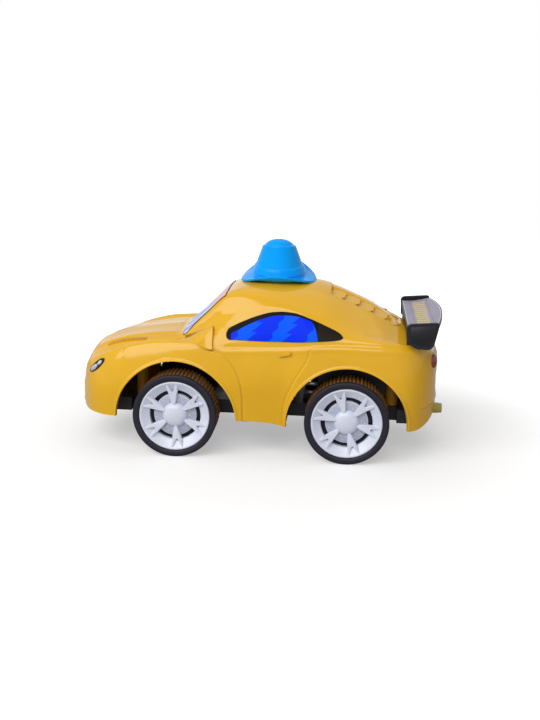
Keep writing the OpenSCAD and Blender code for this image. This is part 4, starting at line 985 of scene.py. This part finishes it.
def dotted_black(tree, marks):
    """Cloudy black with a rear quarter of fine brown dots."""
    x, y, z = axes(tree)
    wave_x, wave_z = [math(tree, "SINE", math(tree, "MULTIPLY", way, 2 * pi / DOT_PITCH)) for way in (x, z)]
    dots = math(tree, "MULTIPLY", wave_x, wave_z)
    rear = math(tree, "GREATER_THAN", x, DOTS_FROM_X)
    shown = math(tree, "MULTIPLY", math(tree, "GREATER_THAN", dots, 0.25), rear)
    cloud = mixed(tree, marks.outputs["Flow"], WINDOW_BLACK, (0.009, 0.008, 0.008, 1))
    return mixed(tree, math(tree, "MULTIPLY", shown, 0.7), cloud, (0.045, 0.035, 0.028, 1))


def jagged_blue(tree, marks):
    """Leaning light bands with a toothed rear edge on a deep blue ground."""
    x, y, z = axes(tree)
    lean = math(tree, "ADD", math(tree, "MULTIPLY_ADD", z, BAND_LEAN, x), 0.1)
    place = math(tree, "MODULO", lean, BAND_PITCH)
    teeth = math(tree, "MULTIPLY", math(tree, "FRACT", math(tree, "DIVIDE", z, TOOTH_PITCH)), TOOTH_DEPTH)
    ripple = math(tree, "MULTIPLY", math(tree, "PINGPONG", z, TOOTH_PITCH / 2), 0.7)
    after = math(tree, "GREATER_THAN", place, math(tree, "ADD", ripple, 0.0008))
    before = math(tree, "LESS_THAN", place, math(tree, "ADD", teeth, BAND_WIDTH))
    cloud = spread(tree, marks.outputs["Flow"], 0.0, 1.0)
    deep = mixed(tree, cloud, (0.001, 0.028, 0.8, 1), (0.003, 0.036, 0.88, 1))
    pale = mixed(tree, cloud, (0.0, 0.095, 0.98, 1), (0.001, 0.11, 1.0, 1))
    return mixed(tree, math(tree, "MULTIPLY", after, before), deep, pale)


window_black = film_finish("window_black", dotted_black, 0.3)
window_blue = film_finish("window_blue", jagged_blue, 0.26)
PANE_TOP = np.array([(-13.1, 63.1), (-2.2, 68.7), (2.4, 70.6), (7.5, 72.1), (11, 72.5), (15.1, 72.5), (19, 72.2),
                     (23.7, 71), (26.2, 70.2), (27.6, 68.4), (28.6, 66.5), (29.3, 64.2), (29.9, 61.5)])
label_x = np.concatenate([
    np.linspace(-15.5, -14, 8)[:-1], np.linspace(-14, 40.6, 66), np.linspace(40.6, 42.1, 8)[1:]])
label_form = side_sheet(label_x, through(WINDOW_LOW, label_x), through(WINDOW_TOP, label_x), 14, 0.3, 0.22)
pane_x = np.concatenate([np.linspace(-13.1, 26.2, 50)[:-1], np.linspace(26.2, 29.9, 18)])
pane_form = side_sheet(pane_x, through(WINDOW_LOW, pane_x) + 0.12, through(PANE_TOP, pane_x), 14, 0.44, 0.1)
label_mesh, pane_mesh = as_mesh(label_form), as_mesh(pane_form)
for side in ("left", "right"):
    for kind, mesh, finish in (("window_film", label_mesh, window_black), ("window_pane", pane_mesh, window_blue)):
        own = flipped(mesh) if side == "right" else mesh.copy()
        piece = add_piece(f"{kind}_{side}", own, finish)
        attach(piece, "car_body")
        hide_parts("window_label_" + side)

# Windscreen label: printed film in pale lilac and blue streaks with a rosy band along
# the top and a thin dark outline, laid over the bowed windscreen.
ROSY_FROM, ROSY_TO = 0.0715, 0.0775
SCREEN_ROWS, SCREEN_COLUMNS, SCREEN_T = 34, 46, 0.2


def streaked_screen(tree, marks):
    """Pale streaks across the screen, turning rosy towards its top."""
    x, y, z = axes(tree)
    slant = math(tree, "MULTIPLY_ADD", z, 0.35, y)
    streak = node(tree, "ShaderNodeTexWave", {
        "Vector": node(tree, "ShaderNodeCombineXYZ", {"X": slant, "Y": math(tree, "MULTIPLY", z, 0.15)}).outputs[0],
        "Scale": 26.0, "Distortion": 2.4, "Detail": 3.0, "Detail Scale": 1.6}).outputs[1]
    cool = mixed(tree, streak, (0.26, 0.33, 0.8, 1), (0.72, 0.76, 0.95, 1))
    rosy = node(tree, "ShaderNodeMapRange", {"Value": z, "From Min": ROSY_FROM, "From Max": ROSY_TO}).outputs[0]
    return mixed(tree, math(tree, "MULTIPLY", rosy, 0.85), cool, (0.85, 0.45, 0.42, 1))


screen_print = film_finish("screen_print", streaked_screen, 0.22)
screen_edge = film_finish("screen_edge", dotted_black, 0.3)


def screen_sheet(first, last, edge, out):
    """Film over the screen from one x to another, wider towards its foot."""
    rows, across = np.linspace(first, last, SCREEN_ROWS), np.linspace(0, 1, SCREEN_COLUMNS)
    side = edge - 0.5 * ramp(-32 - rows, 0, 6)
    x = np.repeat(rows, SCREEN_COLUMNS)
    q = (side[:, None] + (12 - 2 * side)[:, None] * across[None, :]).ravel()
    base, away = skin(x, q), skin_normal(x, q)
    back, top = [(base + away * (relief(base) + lift)[:, None]).reshape(SCREEN_ROWS, SCREEN_COLUMNS, 3)
                 for lift in (out - SCREEN_T, out)]
    return sheet_form(back, top)


for name, finish, first, last, edge, out in (("screen_border", screen_edge, -38.5, -17.2, 4.0, 0.28),
                                             ("screen_film", screen_print, -38.2, -17.5, 4.05, 0.36)):
    piece = add_piece(name, as_mesh(screen_sheet(first, last, edge, out)), finish)
    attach(piece, "car_body")
    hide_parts("windscreen_label")

# Headlamp labels: slanted oval stickers with a dark outline and a silver lamp in two
# steps, domed a little and rubbed down on the front fenders.
LAMP_AT, LAMP_TILT = (-81.6, 43.3), radians(43)
LAMP_ROWS, LAMP_COLUMNS = 26, 13


def lamp_sheet(long_r, short_r, out, dome, thick, shift=0.0):
    """Oval film on the fender, raised by a dome and shifted along its length."""
    t = np.sin(np.linspace(-pi / 2, pi / 2, LAMP_ROWS)) * 0.995
    across = np.linspace(-1, 1, LAMP_COLUMNS)
    u = np.repeat((t * long_r)[:, None], LAMP_COLUMNS, 1) + shift
    v = short_r * np.sqrt(1 - t**2)[:, None] * across[None, :]
    x = LAMP_AT[0] + u * cos(LAMP_TILT) - v * sin(LAMP_TILT)
    z = LAMP_AT[1] + u * sin(LAMP_TILT) + v * cos(LAMP_TILT)
    lift = out + dome * (1 - ((u - shift) / long_r) ** 2) * (1 - (v / short_r) ** 2)
    top = on_side(x.ravel(), z.ravel(), lift.ravel()).reshape(*x.shape, 3)
    back = on_side(x.ravel(), z.ravel(), out - thick).reshape(*x.shape, 3)
    return sheet_form(back, top)


def silver_lamp(tree, marks):
    """Silver that darkens towards the lower front of the lamp."""
    x, y, z = axes(tree)
    up = math(tree, "MULTIPLY_ADD", x, -0.7, z)
    fade = node(tree, "ShaderNodeMapRange", {"Value": up, "From Min": 0.0985, "From Max": 0.1025}).outputs[0]
    return mixed(tree, fade, (0.2, 0.19, 0.23, 1), (0.72, 0.72, 0.78, 1))


def lamp_rim(tree, marks):
    cloud = spread(tree, marks.outputs["Flow"], 0.0, 1.0)
    return mixed(tree, cloud, (0.025, 0.022, 0.026, 1), (0.05, 0.045, 0.05, 1))


lamp_dark = film_finish("lamp_dark", lamp_rim, 0.25)
lamp_silver = film_finish("lamp_silver", silver_lamp, 0.2)
LAMP_LAYERS = (("headlamp_film", lamp_dark, lamp_sheet(6.0, 1.55, 0.25, 0.15, 0.25)),
               ("headlamp_bowl", lamp_silver, lamp_sheet(3.0, 0.95, 0.36, 0.3, 0.2, -2.2)),
               ("headlamp_side", lamp_silver, lamp_sheet(1.7, 0.7, 0.36, 0.2, 0.2, 2.4)))
for kind, finish, form in LAMP_LAYERS:
    mesh = as_mesh(form)
    for side in ("left", "right"):
        own = flipped(mesh) if side == "right" else mesh.copy()
        piece = add_piece(f"{kind}_{side}", own, finish)
        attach(piece, "car_body")
        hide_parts("headlamp_" + side)

# Tail lamps: deep red lenses with a stepped rim and rings in the face, pushed into
# round holes of the tail.
red_lens = moulded_finish(
    "red_lens", (0.24, 0.02, 0.012), (0.16, 0.01, 0.008), (0.4, 0.06, 0.04), (0.12, 0.22), coat=0.4)
lens_form = bmesh.new()
turned(lens_form, [
    (0, 90.45), (0.6, 90.4), (1.0, 90.2), (1.3, 90.35), (1.8, 90.3), (2.1, 90.05), (2.4, 90.15), (2.8, 89.95),
    (3.2, 89.6), (3.45, 89.2), (3.5, 88.8), (3.5, 84), (0, 84)], 64, closed=False)
bmesh.ops.rotate(lens_form, cent=(0, 0, 0), matrix=TO_REAR, verts=lens_form.verts)
lens_mesh = as_mesh(lens_form)
for side, way in (("left", -1), ("right", 1)):
    own = lens_mesh.copy()
    own.transform(Matrix.Translation(Vector((-0.9, way * TAIL_LAMP_Y, TAIL_LAMP_Z)) * MM))
    lens_piece = add_piece("tail_lens_" + side, own, red_lens)
    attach(lens_piece, "car_body")
    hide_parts("tail_lamp_" + side)

# Hat: bright blue hollow moulding with a raised band, a domed top behind a sharp edge
# and a brim that curls up at the sides. It is screwed to the roof and leans to the left.
HAT_AT, HAT_LEAN = Vector((7.5, 0, 87.2)), radians(8)
CROWN_R, CROWN_TOP_R, CROWN_H, CROWN_FOOT = 14.3, 8.5, 16.3, 1.0
BAND_LOW, BAND_HIGH, BAND_OUT = 2.95, 6.5, 0.5
CROWN_TILT, CROWN_STEPS = 0.2, 96
BRIM_INNER_R, BRIM_ROOT, BRIM_STEPS = CROWN_R - 1.2, 1.1, 120
BRIM_HALF = (19.6, 18.0)
blue_plastic = moulded_finish(
    "blue_plastic", (0.0, 0.37, 0.96), (0.0, 0.32, 0.92), (0.08, 0.56, 1.0), (0.14, 0.26), relief=0.003, wear=0.6,
    shine=0.1)


def crown_r(z):
    """Radius of the crown's cone at a height."""
    return CROWN_R + (CROWN_TOP_R - CROWN_R) * z / CROWN_H


hat_form = bmesh.new()
crown = [(crown_r(z), z) for z in (CROWN_FOOT, 1.5, BAND_LOW - 0.12)]
crown += [(crown_r(BAND_LOW) + 0.8 * BAND_OUT, BAND_LOW), (crown_r(BAND_LOW) + BAND_OUT, BAND_LOW + 0.2)]
crown += [(crown_r(z) + BAND_OUT, z) for z in (4.6, BAND_HIGH - 0.2)]
crown += [(crown_r(BAND_HIGH) + 0.8 * BAND_OUT, BAND_HIGH), (crown_r(BAND_HIGH), BAND_HIGH + 0.12)]
crown += [(crown_r(z), z) for z in (8, 10, 12, 14, 15.3)]
crown += [(CROWN_TOP_R + 0.2, 15.9), (CROWN_TOP_R - 0.1, 16.35), (CROWN_TOP_R - 0.6, 16.6), (CROWN_TOP_R - 1, 16.7)]
crown += [(7, 17.35), (6.1, 18.15), (4.8, 18.95), (3.2, 19.5), (1.6, 19.8), (0, 19.9)]
inside = [(12.7, CROWN_FOOT), (12.6, 1.6), (7, 15.6), (6.2, 16.5), (3.2, 17.6), (0, 17.8)]
for outline in (inside, crown, [crown[0], inside[0]]):
    turned(hat_form, outline, CROWN_STEPS, closed=False)
for vert in hat_form.verts:
    vert.co.z -= CROWN_TILT * vert.co.y * max(vert.co.z / CROWN_H, 0) ** 2
brim_profile = [(0.0, 0.5), (0.35, 0.5), (0.7, 0.5), (0.93, 0.6), (0.985, 0.5), (1.0, 0.1), (0.985, -0.4),
                (0.93, -0.6), (0.7, -0.5), (0.35, -0.5), (0.0, -0.5)]
brim_rings = []
for i in range(BRIM_STEPS):
    a = 2 * pi * i / BRIM_STEPS
    reach = 1 / sqrt((cos(a) / BRIM_HALF[0]) ** 2 + (sin(a) / BRIM_HALF[1]) ** 2)
    lip = (5.3 + 0.7 * sin(a)) * sin(a) ** 2 - (1.65 - 0.25 * cos(a)) * cos(a) ** 2
    profile = [(blend(BRIM_INNER_R, reach, t), blend(BRIM_ROOT, lip, t**1.8) + h) for t, h in brim_profile]
    brim_rings.append([hat_form.verts.new((r * cos(a), r * sin(a), z)) for r, z in profile])
for one, two in zip(brim_rings, brim_rings[1:] + brim_rings[:1]):
    for j in range(len(brim_profile)):
        k = (j + 1) % len(brim_profile)
        hat_form.faces.new((one[j], two[j], two[k], one[k]))
bmesh.ops.rotate(hat_form, cent=(0, 0, 0), matrix=Matrix.Rotation(HAT_LEAN, 3, "X"), verts=hat_form.verts)
bmesh.ops.translate(hat_form, vec=HAT_AT, verts=hat_form.verts)
boss = bmesh.new()
turned(boss, [(1.2, 84.6), (2.45, 84.6), (2.45, 87.3), (4.9, 87.3), (5, 87.6), (5, 103.5), (1.2, 103.5)], 40)
bmesh.ops.translate(boss, vec=(HAT_AT.x, 0, 0), verts=boss.verts)
hat = add_piece("brimmed_hat", gathered(as_mesh(hat_form), as_mesh(boss)), blue_plastic)
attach(hat, "car_body")
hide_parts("hat")

# Rear wing: a black moulding with a bowed blade over a low front wall, two end plates
# with a raised rim and two struts whose pegs are pushed into the tail. A grey printed
# label is stuck on the blade.
PLATE_X, PLATE_Y, PLATE_T = 72.62, 36.5, 2.0
WING_Z = 72.12
BLADE_Z = WING_Z - 2.2
BLADE_LINE = np.array([(0, 0), (5, 0.1), (9, 0.7), (14, 1.9), (20.5, 3.9)])
BLADE_REAR, BLADE_BOW, BLADE_COLUMNS, BLADE_ROWS = 91.82, 3.8, 40, 22
BOW_R = (PLATE_Y**2 + BLADE_BOW**2) / (2 * BLADE_BOW)
STRUT_Y, STRUT_HALF = 30.0, 1.5
WALL_HALF, WALL_COLUMNS = 29.5, 24


def blade_grid(half, front, rear_in, lift):
    """Grid of points on the blade, inset at its front and rear and lifted off its top."""
    grid = []
    for y in np.linspace(-half, half, BLADE_COLUMNS):
        rear = BLADE_REAR - (BOW_R - sqrt(BOW_R**2 - y * y)) - rear_in
        x = np.linspace(PLATE_X + front, rear, BLADE_ROWS)
        z = BLADE_Z + through(BLADE_LINE, np.clip(x - PLATE_X - 0.4, 0, 20.5)) + lift
        grid.append([(a, y, b) for a, b in zip(x, z)])
    return grid


PLATE_OUTLINE = [(0, -2), (0.15, -1.2), (0.6, -0.5), (1.3, -0.1), (2.2, 0.1), (13.9, 1.05), (14.9, 0.9),
                 (15.5, 0.35), (15.6, -0.5), (15.4, -1.8), (13.7, -9.6),
                 (13.2, -10.8), (12.3, -11.9), (11, -12.4), (6.2, -12.4), (4.4, -11.9), (2.6, -10.6), (0.9, -10.2),
                 (0.4, -9.6), (0.2, -6)]


def plate_layer(y, shrink):
    """Outline of an end plate at y, drawn in towards its middle."""
    middle = Vector((7.8, -5.6))
    spots = [Vector(p) for p in PLATE_OUTLINE]
    drawn = [p + (middle - p).normalized() * shrink for p in spots]
    return [(PLATE_X + p.x, y, WING_Z + p.y) for p in drawn]


wing_form = sheet_form(blade_grid(PLATE_Y + 0.3, 0.4, 0.0, -2.0), blade_grid(PLATE_Y + 0.3, 0.4, 0.0, 0.0))
for way in (-1, 1):
    for low_y, low_shrink, high_y, high_shrink in (
            (0, 0.35, 0.35, 0), (0.35, 0, PLATE_T - 0.45, 0), (PLATE_T - 0.5, 0, PLATE_T - 0.1, 0.45),
            (PLATE_T - 0.3, 1.5, PLATE_T, 1.9)):
        prism(wing_form, plate_layer(way * (PLATE_Y + low_y), low_shrink),
              plate_layer(way * (PLATE_Y + high_y), high_shrink))
    foot_x = np.array([1.4, 3.2, 5.0, 6.8, 8.6]) + PLATE_X
    foot_z = on_top(foot_x, np.full(len(foot_x), -STRUT_Y), 0.3)[:, 2]
    outline = [*zip(foot_x, foot_z), (PLATE_X + 7.4, BLADE_Z - 0.8), (PLATE_X + 1, BLADE_Z - 0.8)]
    prism(wing_form, *[[(x, way * STRUT_Y + half, z) for x, z in outline] for half in (-STRUT_HALF, STRUT_HALF)])


def wall_grid(x):
    """Wall under the front edge of the blade, from the skin up to the blade."""
    wall_y = np.linspace(-WALL_HALF, WALL_HALF, WALL_COLUMNS)
    foot = on_top(np.full(WALL_COLUMNS, x), wall_y, 0.3)
    return [[(x, y, z), (x, y, BLADE_Z - 0.6)] for y, z in zip(wall_y, foot[:, 2])]


wing_wall = sheet_form(wall_grid(PLATE_X + 2.4), wall_grid(PLATE_X + 0.8))
wing = add_piece("rear_wing", gathered(as_mesh(wing_form), as_mesh(wing_wall)), black_plastic)
finished(wing, eased_edges(0.3, 45))
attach(wing, "car_body")
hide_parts("spoiler")


BAR_ROW_X, BAR_ROW_HALF, BAR_ROW_END = 0.0815, 0.0031, 0.029
BAR_PITCH, BAR_GAP, BAR_SLANT = 0.0026, 0.0011, 0.45
LINE_OFF, LINE_HALF = 0.0045, 0.00022


def barred_grey(tree, marks):
    """Grey with one row of slanted yellow bars between two thin dark lines."""
    x, y, z = axes(tree)
    slant = math(tree, "MULTIPLY_ADD", x, BAR_SLANT, y)
    bar = math(tree, "GREATER_THAN", math(tree, "PINGPONG", math(tree, "ADD", slant, 0.2), BAR_PITCH), BAR_GAP)
    long_way = math(tree, "ABSOLUTE", math(tree, "SUBTRACT", x, BAR_ROW_X))
    inside_row = math(tree, "LESS_THAN", long_way, BAR_ROW_HALF)
    ends = math(tree, "LESS_THAN", math(tree, "ABSOLUTE", y), BAR_ROW_END)
    yellow = math(tree, "MULTIPLY", math(tree, "MULTIPLY", bar, inside_row), ends)
    off_line = math(tree, "ABSOLUTE", math(tree, "SUBTRACT", long_way, LINE_OFF))
    line = math(tree, "LESS_THAN", off_line, LINE_HALF)
    cloth = mixed(tree, marks.outputs["Flow"], (0.36, 0.335, 0.42, 1), (0.29, 0.27, 0.34, 1))
    lined = mixed(tree, math(tree, "MULTIPLY", line, 0.5), cloth, (0.16, 0.15, 0.19, 1))
    return mixed(tree, math(tree, "MULTIPLY", yellow, 0.8), lined, (0.72, 0.56, 0.14, 1))


def pale_grey(tree, marks):
    return mixed(tree, marks.outputs["Flow"], (0.62, 0.6, 0.68, 1), (0.52, 0.5, 0.58, 1))


wing_print = film_finish("wing_print", barred_grey, 0.34)
wing_pale = film_finish("wing_pale", pale_grey, 0.34)
for name, finish, half, front, rear_in, lift in (("wing_label_edge", wing_pale, 34.9, 0.8, 0.6, 0.2),
                                                 ("wing_label", wing_print, 34.3, 1.3, 1.1, 0.27)):
    piece = add_piece(name, as_mesh(sheet_form(blade_grid(half, front, rear_in, lift - 0.19),
                                               blade_grid(half, front, rear_in, lift))), finish)
    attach(piece, "car_body")
    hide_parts("spoiler_label")

# Studio: a pale floor under soft light, with the camera at the height and turn of
# the photograph.
scene = bpy.context.scene
scene.view_settings.view_transform = "Standard"


def studio_floor():
    """Paper floor that keeps the shadow and fades to white away from the car."""
    form = bmesh.new()
    bmesh.ops.create_grid(form, x_segments=2, y_segments=2, size=0.9)
    mesh = bpy.data.meshes.new("studio_floor")
    form.to_mesh(mesh)
    form.free()
    finish, tree, surface = blank_finish("studio_paper")
    surface.inputs["Base Color"].default_value = (0.6, 0.6, 0.6, 1)
    surface.inputs["Roughness"].default_value = 0.9
    surface.inputs["Specular IOR Level"].default_value = 0.0
    seen = tree.nodes.new("ShaderNodeLightPath").outputs["Is Camera Ray"]
    place = tree.nodes.new("ShaderNodeTexCoord").outputs["Object"]
    away = node(tree, "ShaderNodeVectorMath", {0: place}, operation="LENGTH")
    fade = node(tree, "ShaderNodeMapRange", {
        "Value": away.outputs["Value"], "From Min": 0.08, "From Max": 0.32, "To Min": 0.42, "To Max": 1.0},
        interpolation_type="SMOOTHSTEP").outputs[0]
    surface.inputs["Emission Color"].default_value = (1, 1, 1, 1)
    tree.links.new(math(tree, "MULTIPLY", seen, fade), surface.inputs["Emission Strength"])
    mesh.materials.append(finish)
    floor = bpy.data.objects.new("studio_floor", mesh)
    scene.collection.objects.link(floor)


def soft_light(name, place, aim, size, power):
    """Area light of a width and height in metres, turned to its aim."""
    lamp = bpy.data.lights.new(name, "AREA")
    lamp.shape = "RECTANGLE"
    lamp.size, lamp.size_y = size
    lamp.energy = power
    holder = bpy.data.objects.new(name, lamp)
    holder.location = place
    holder.rotation_euler = (Vector(aim) - Vector(place)).to_track_quat("-Z", "Y").to_euler()
    scene.collection.objects.link(holder)


studio_floor()
soft_light("window_light", (-0.45, -0.9, 0.85), (0, 0, 0.05), (1.4, 0.7), 15.0)
soft_light("top_light", (0.1, 0.25, 1.3), (0, 0, 0.05), (1.2, 1.2), 2.5)
world = bpy.data.worlds.new("studio_white")
world.use_nodes = True
scene.world = world
sky = world.node_tree
path = sky.nodes.new("ShaderNodeLightPath")
plain = math(sky, "MAXIMUM", math(sky, "MAXIMUM", path.outputs["Is Camera Ray"], path.outputs["Is Glossy Ray"]),
             path.outputs["Is Transmission Ray"])
sky.links.new(node(sky, "ShaderNodeMapRange", {"Value": plain, "To Min": 0.3, "To Max": 1.0}).outputs[0],
              sky.nodes["Background"].inputs["Strength"])
sky.nodes["Background"].inputs["Color"].default_value = (1, 1, 1, 1)

CAMERA_AT = Vector((45.357, -522.303, 172.628)) * MM
CAMERA_TO = Vector((3.724, 0.0, 41.99)) * MM
CAMERA_ROLL = radians(1.262)
ahead = (CAMERA_TO - CAMERA_AT).normalized()
right = ahead.cross(Vector((0, 0, 1))).normalized()
up = right.cross(ahead)
tilted_right = right * cos(CAMERA_ROLL) + up * sin(CAMERA_ROLL)
tilted_up = up * cos(CAMERA_ROLL) - right * sin(CAMERA_ROLL)
lens = bpy.data.cameras.new("photo_camera")
lens.lens = 50.94
lens.sensor_width = 36.0
lens.clip_start, lens.clip_end = 0.01, 20.0
camera = bpy.data.objects.new("photo_camera", lens)
camera.matrix_world = Matrix.Translation(CAMERA_AT) @ Matrix((tilted_right, tilted_up, -ahead)).transposed().to_4x4()
scene.collection.objects.link(camera)
scene.camera = camera
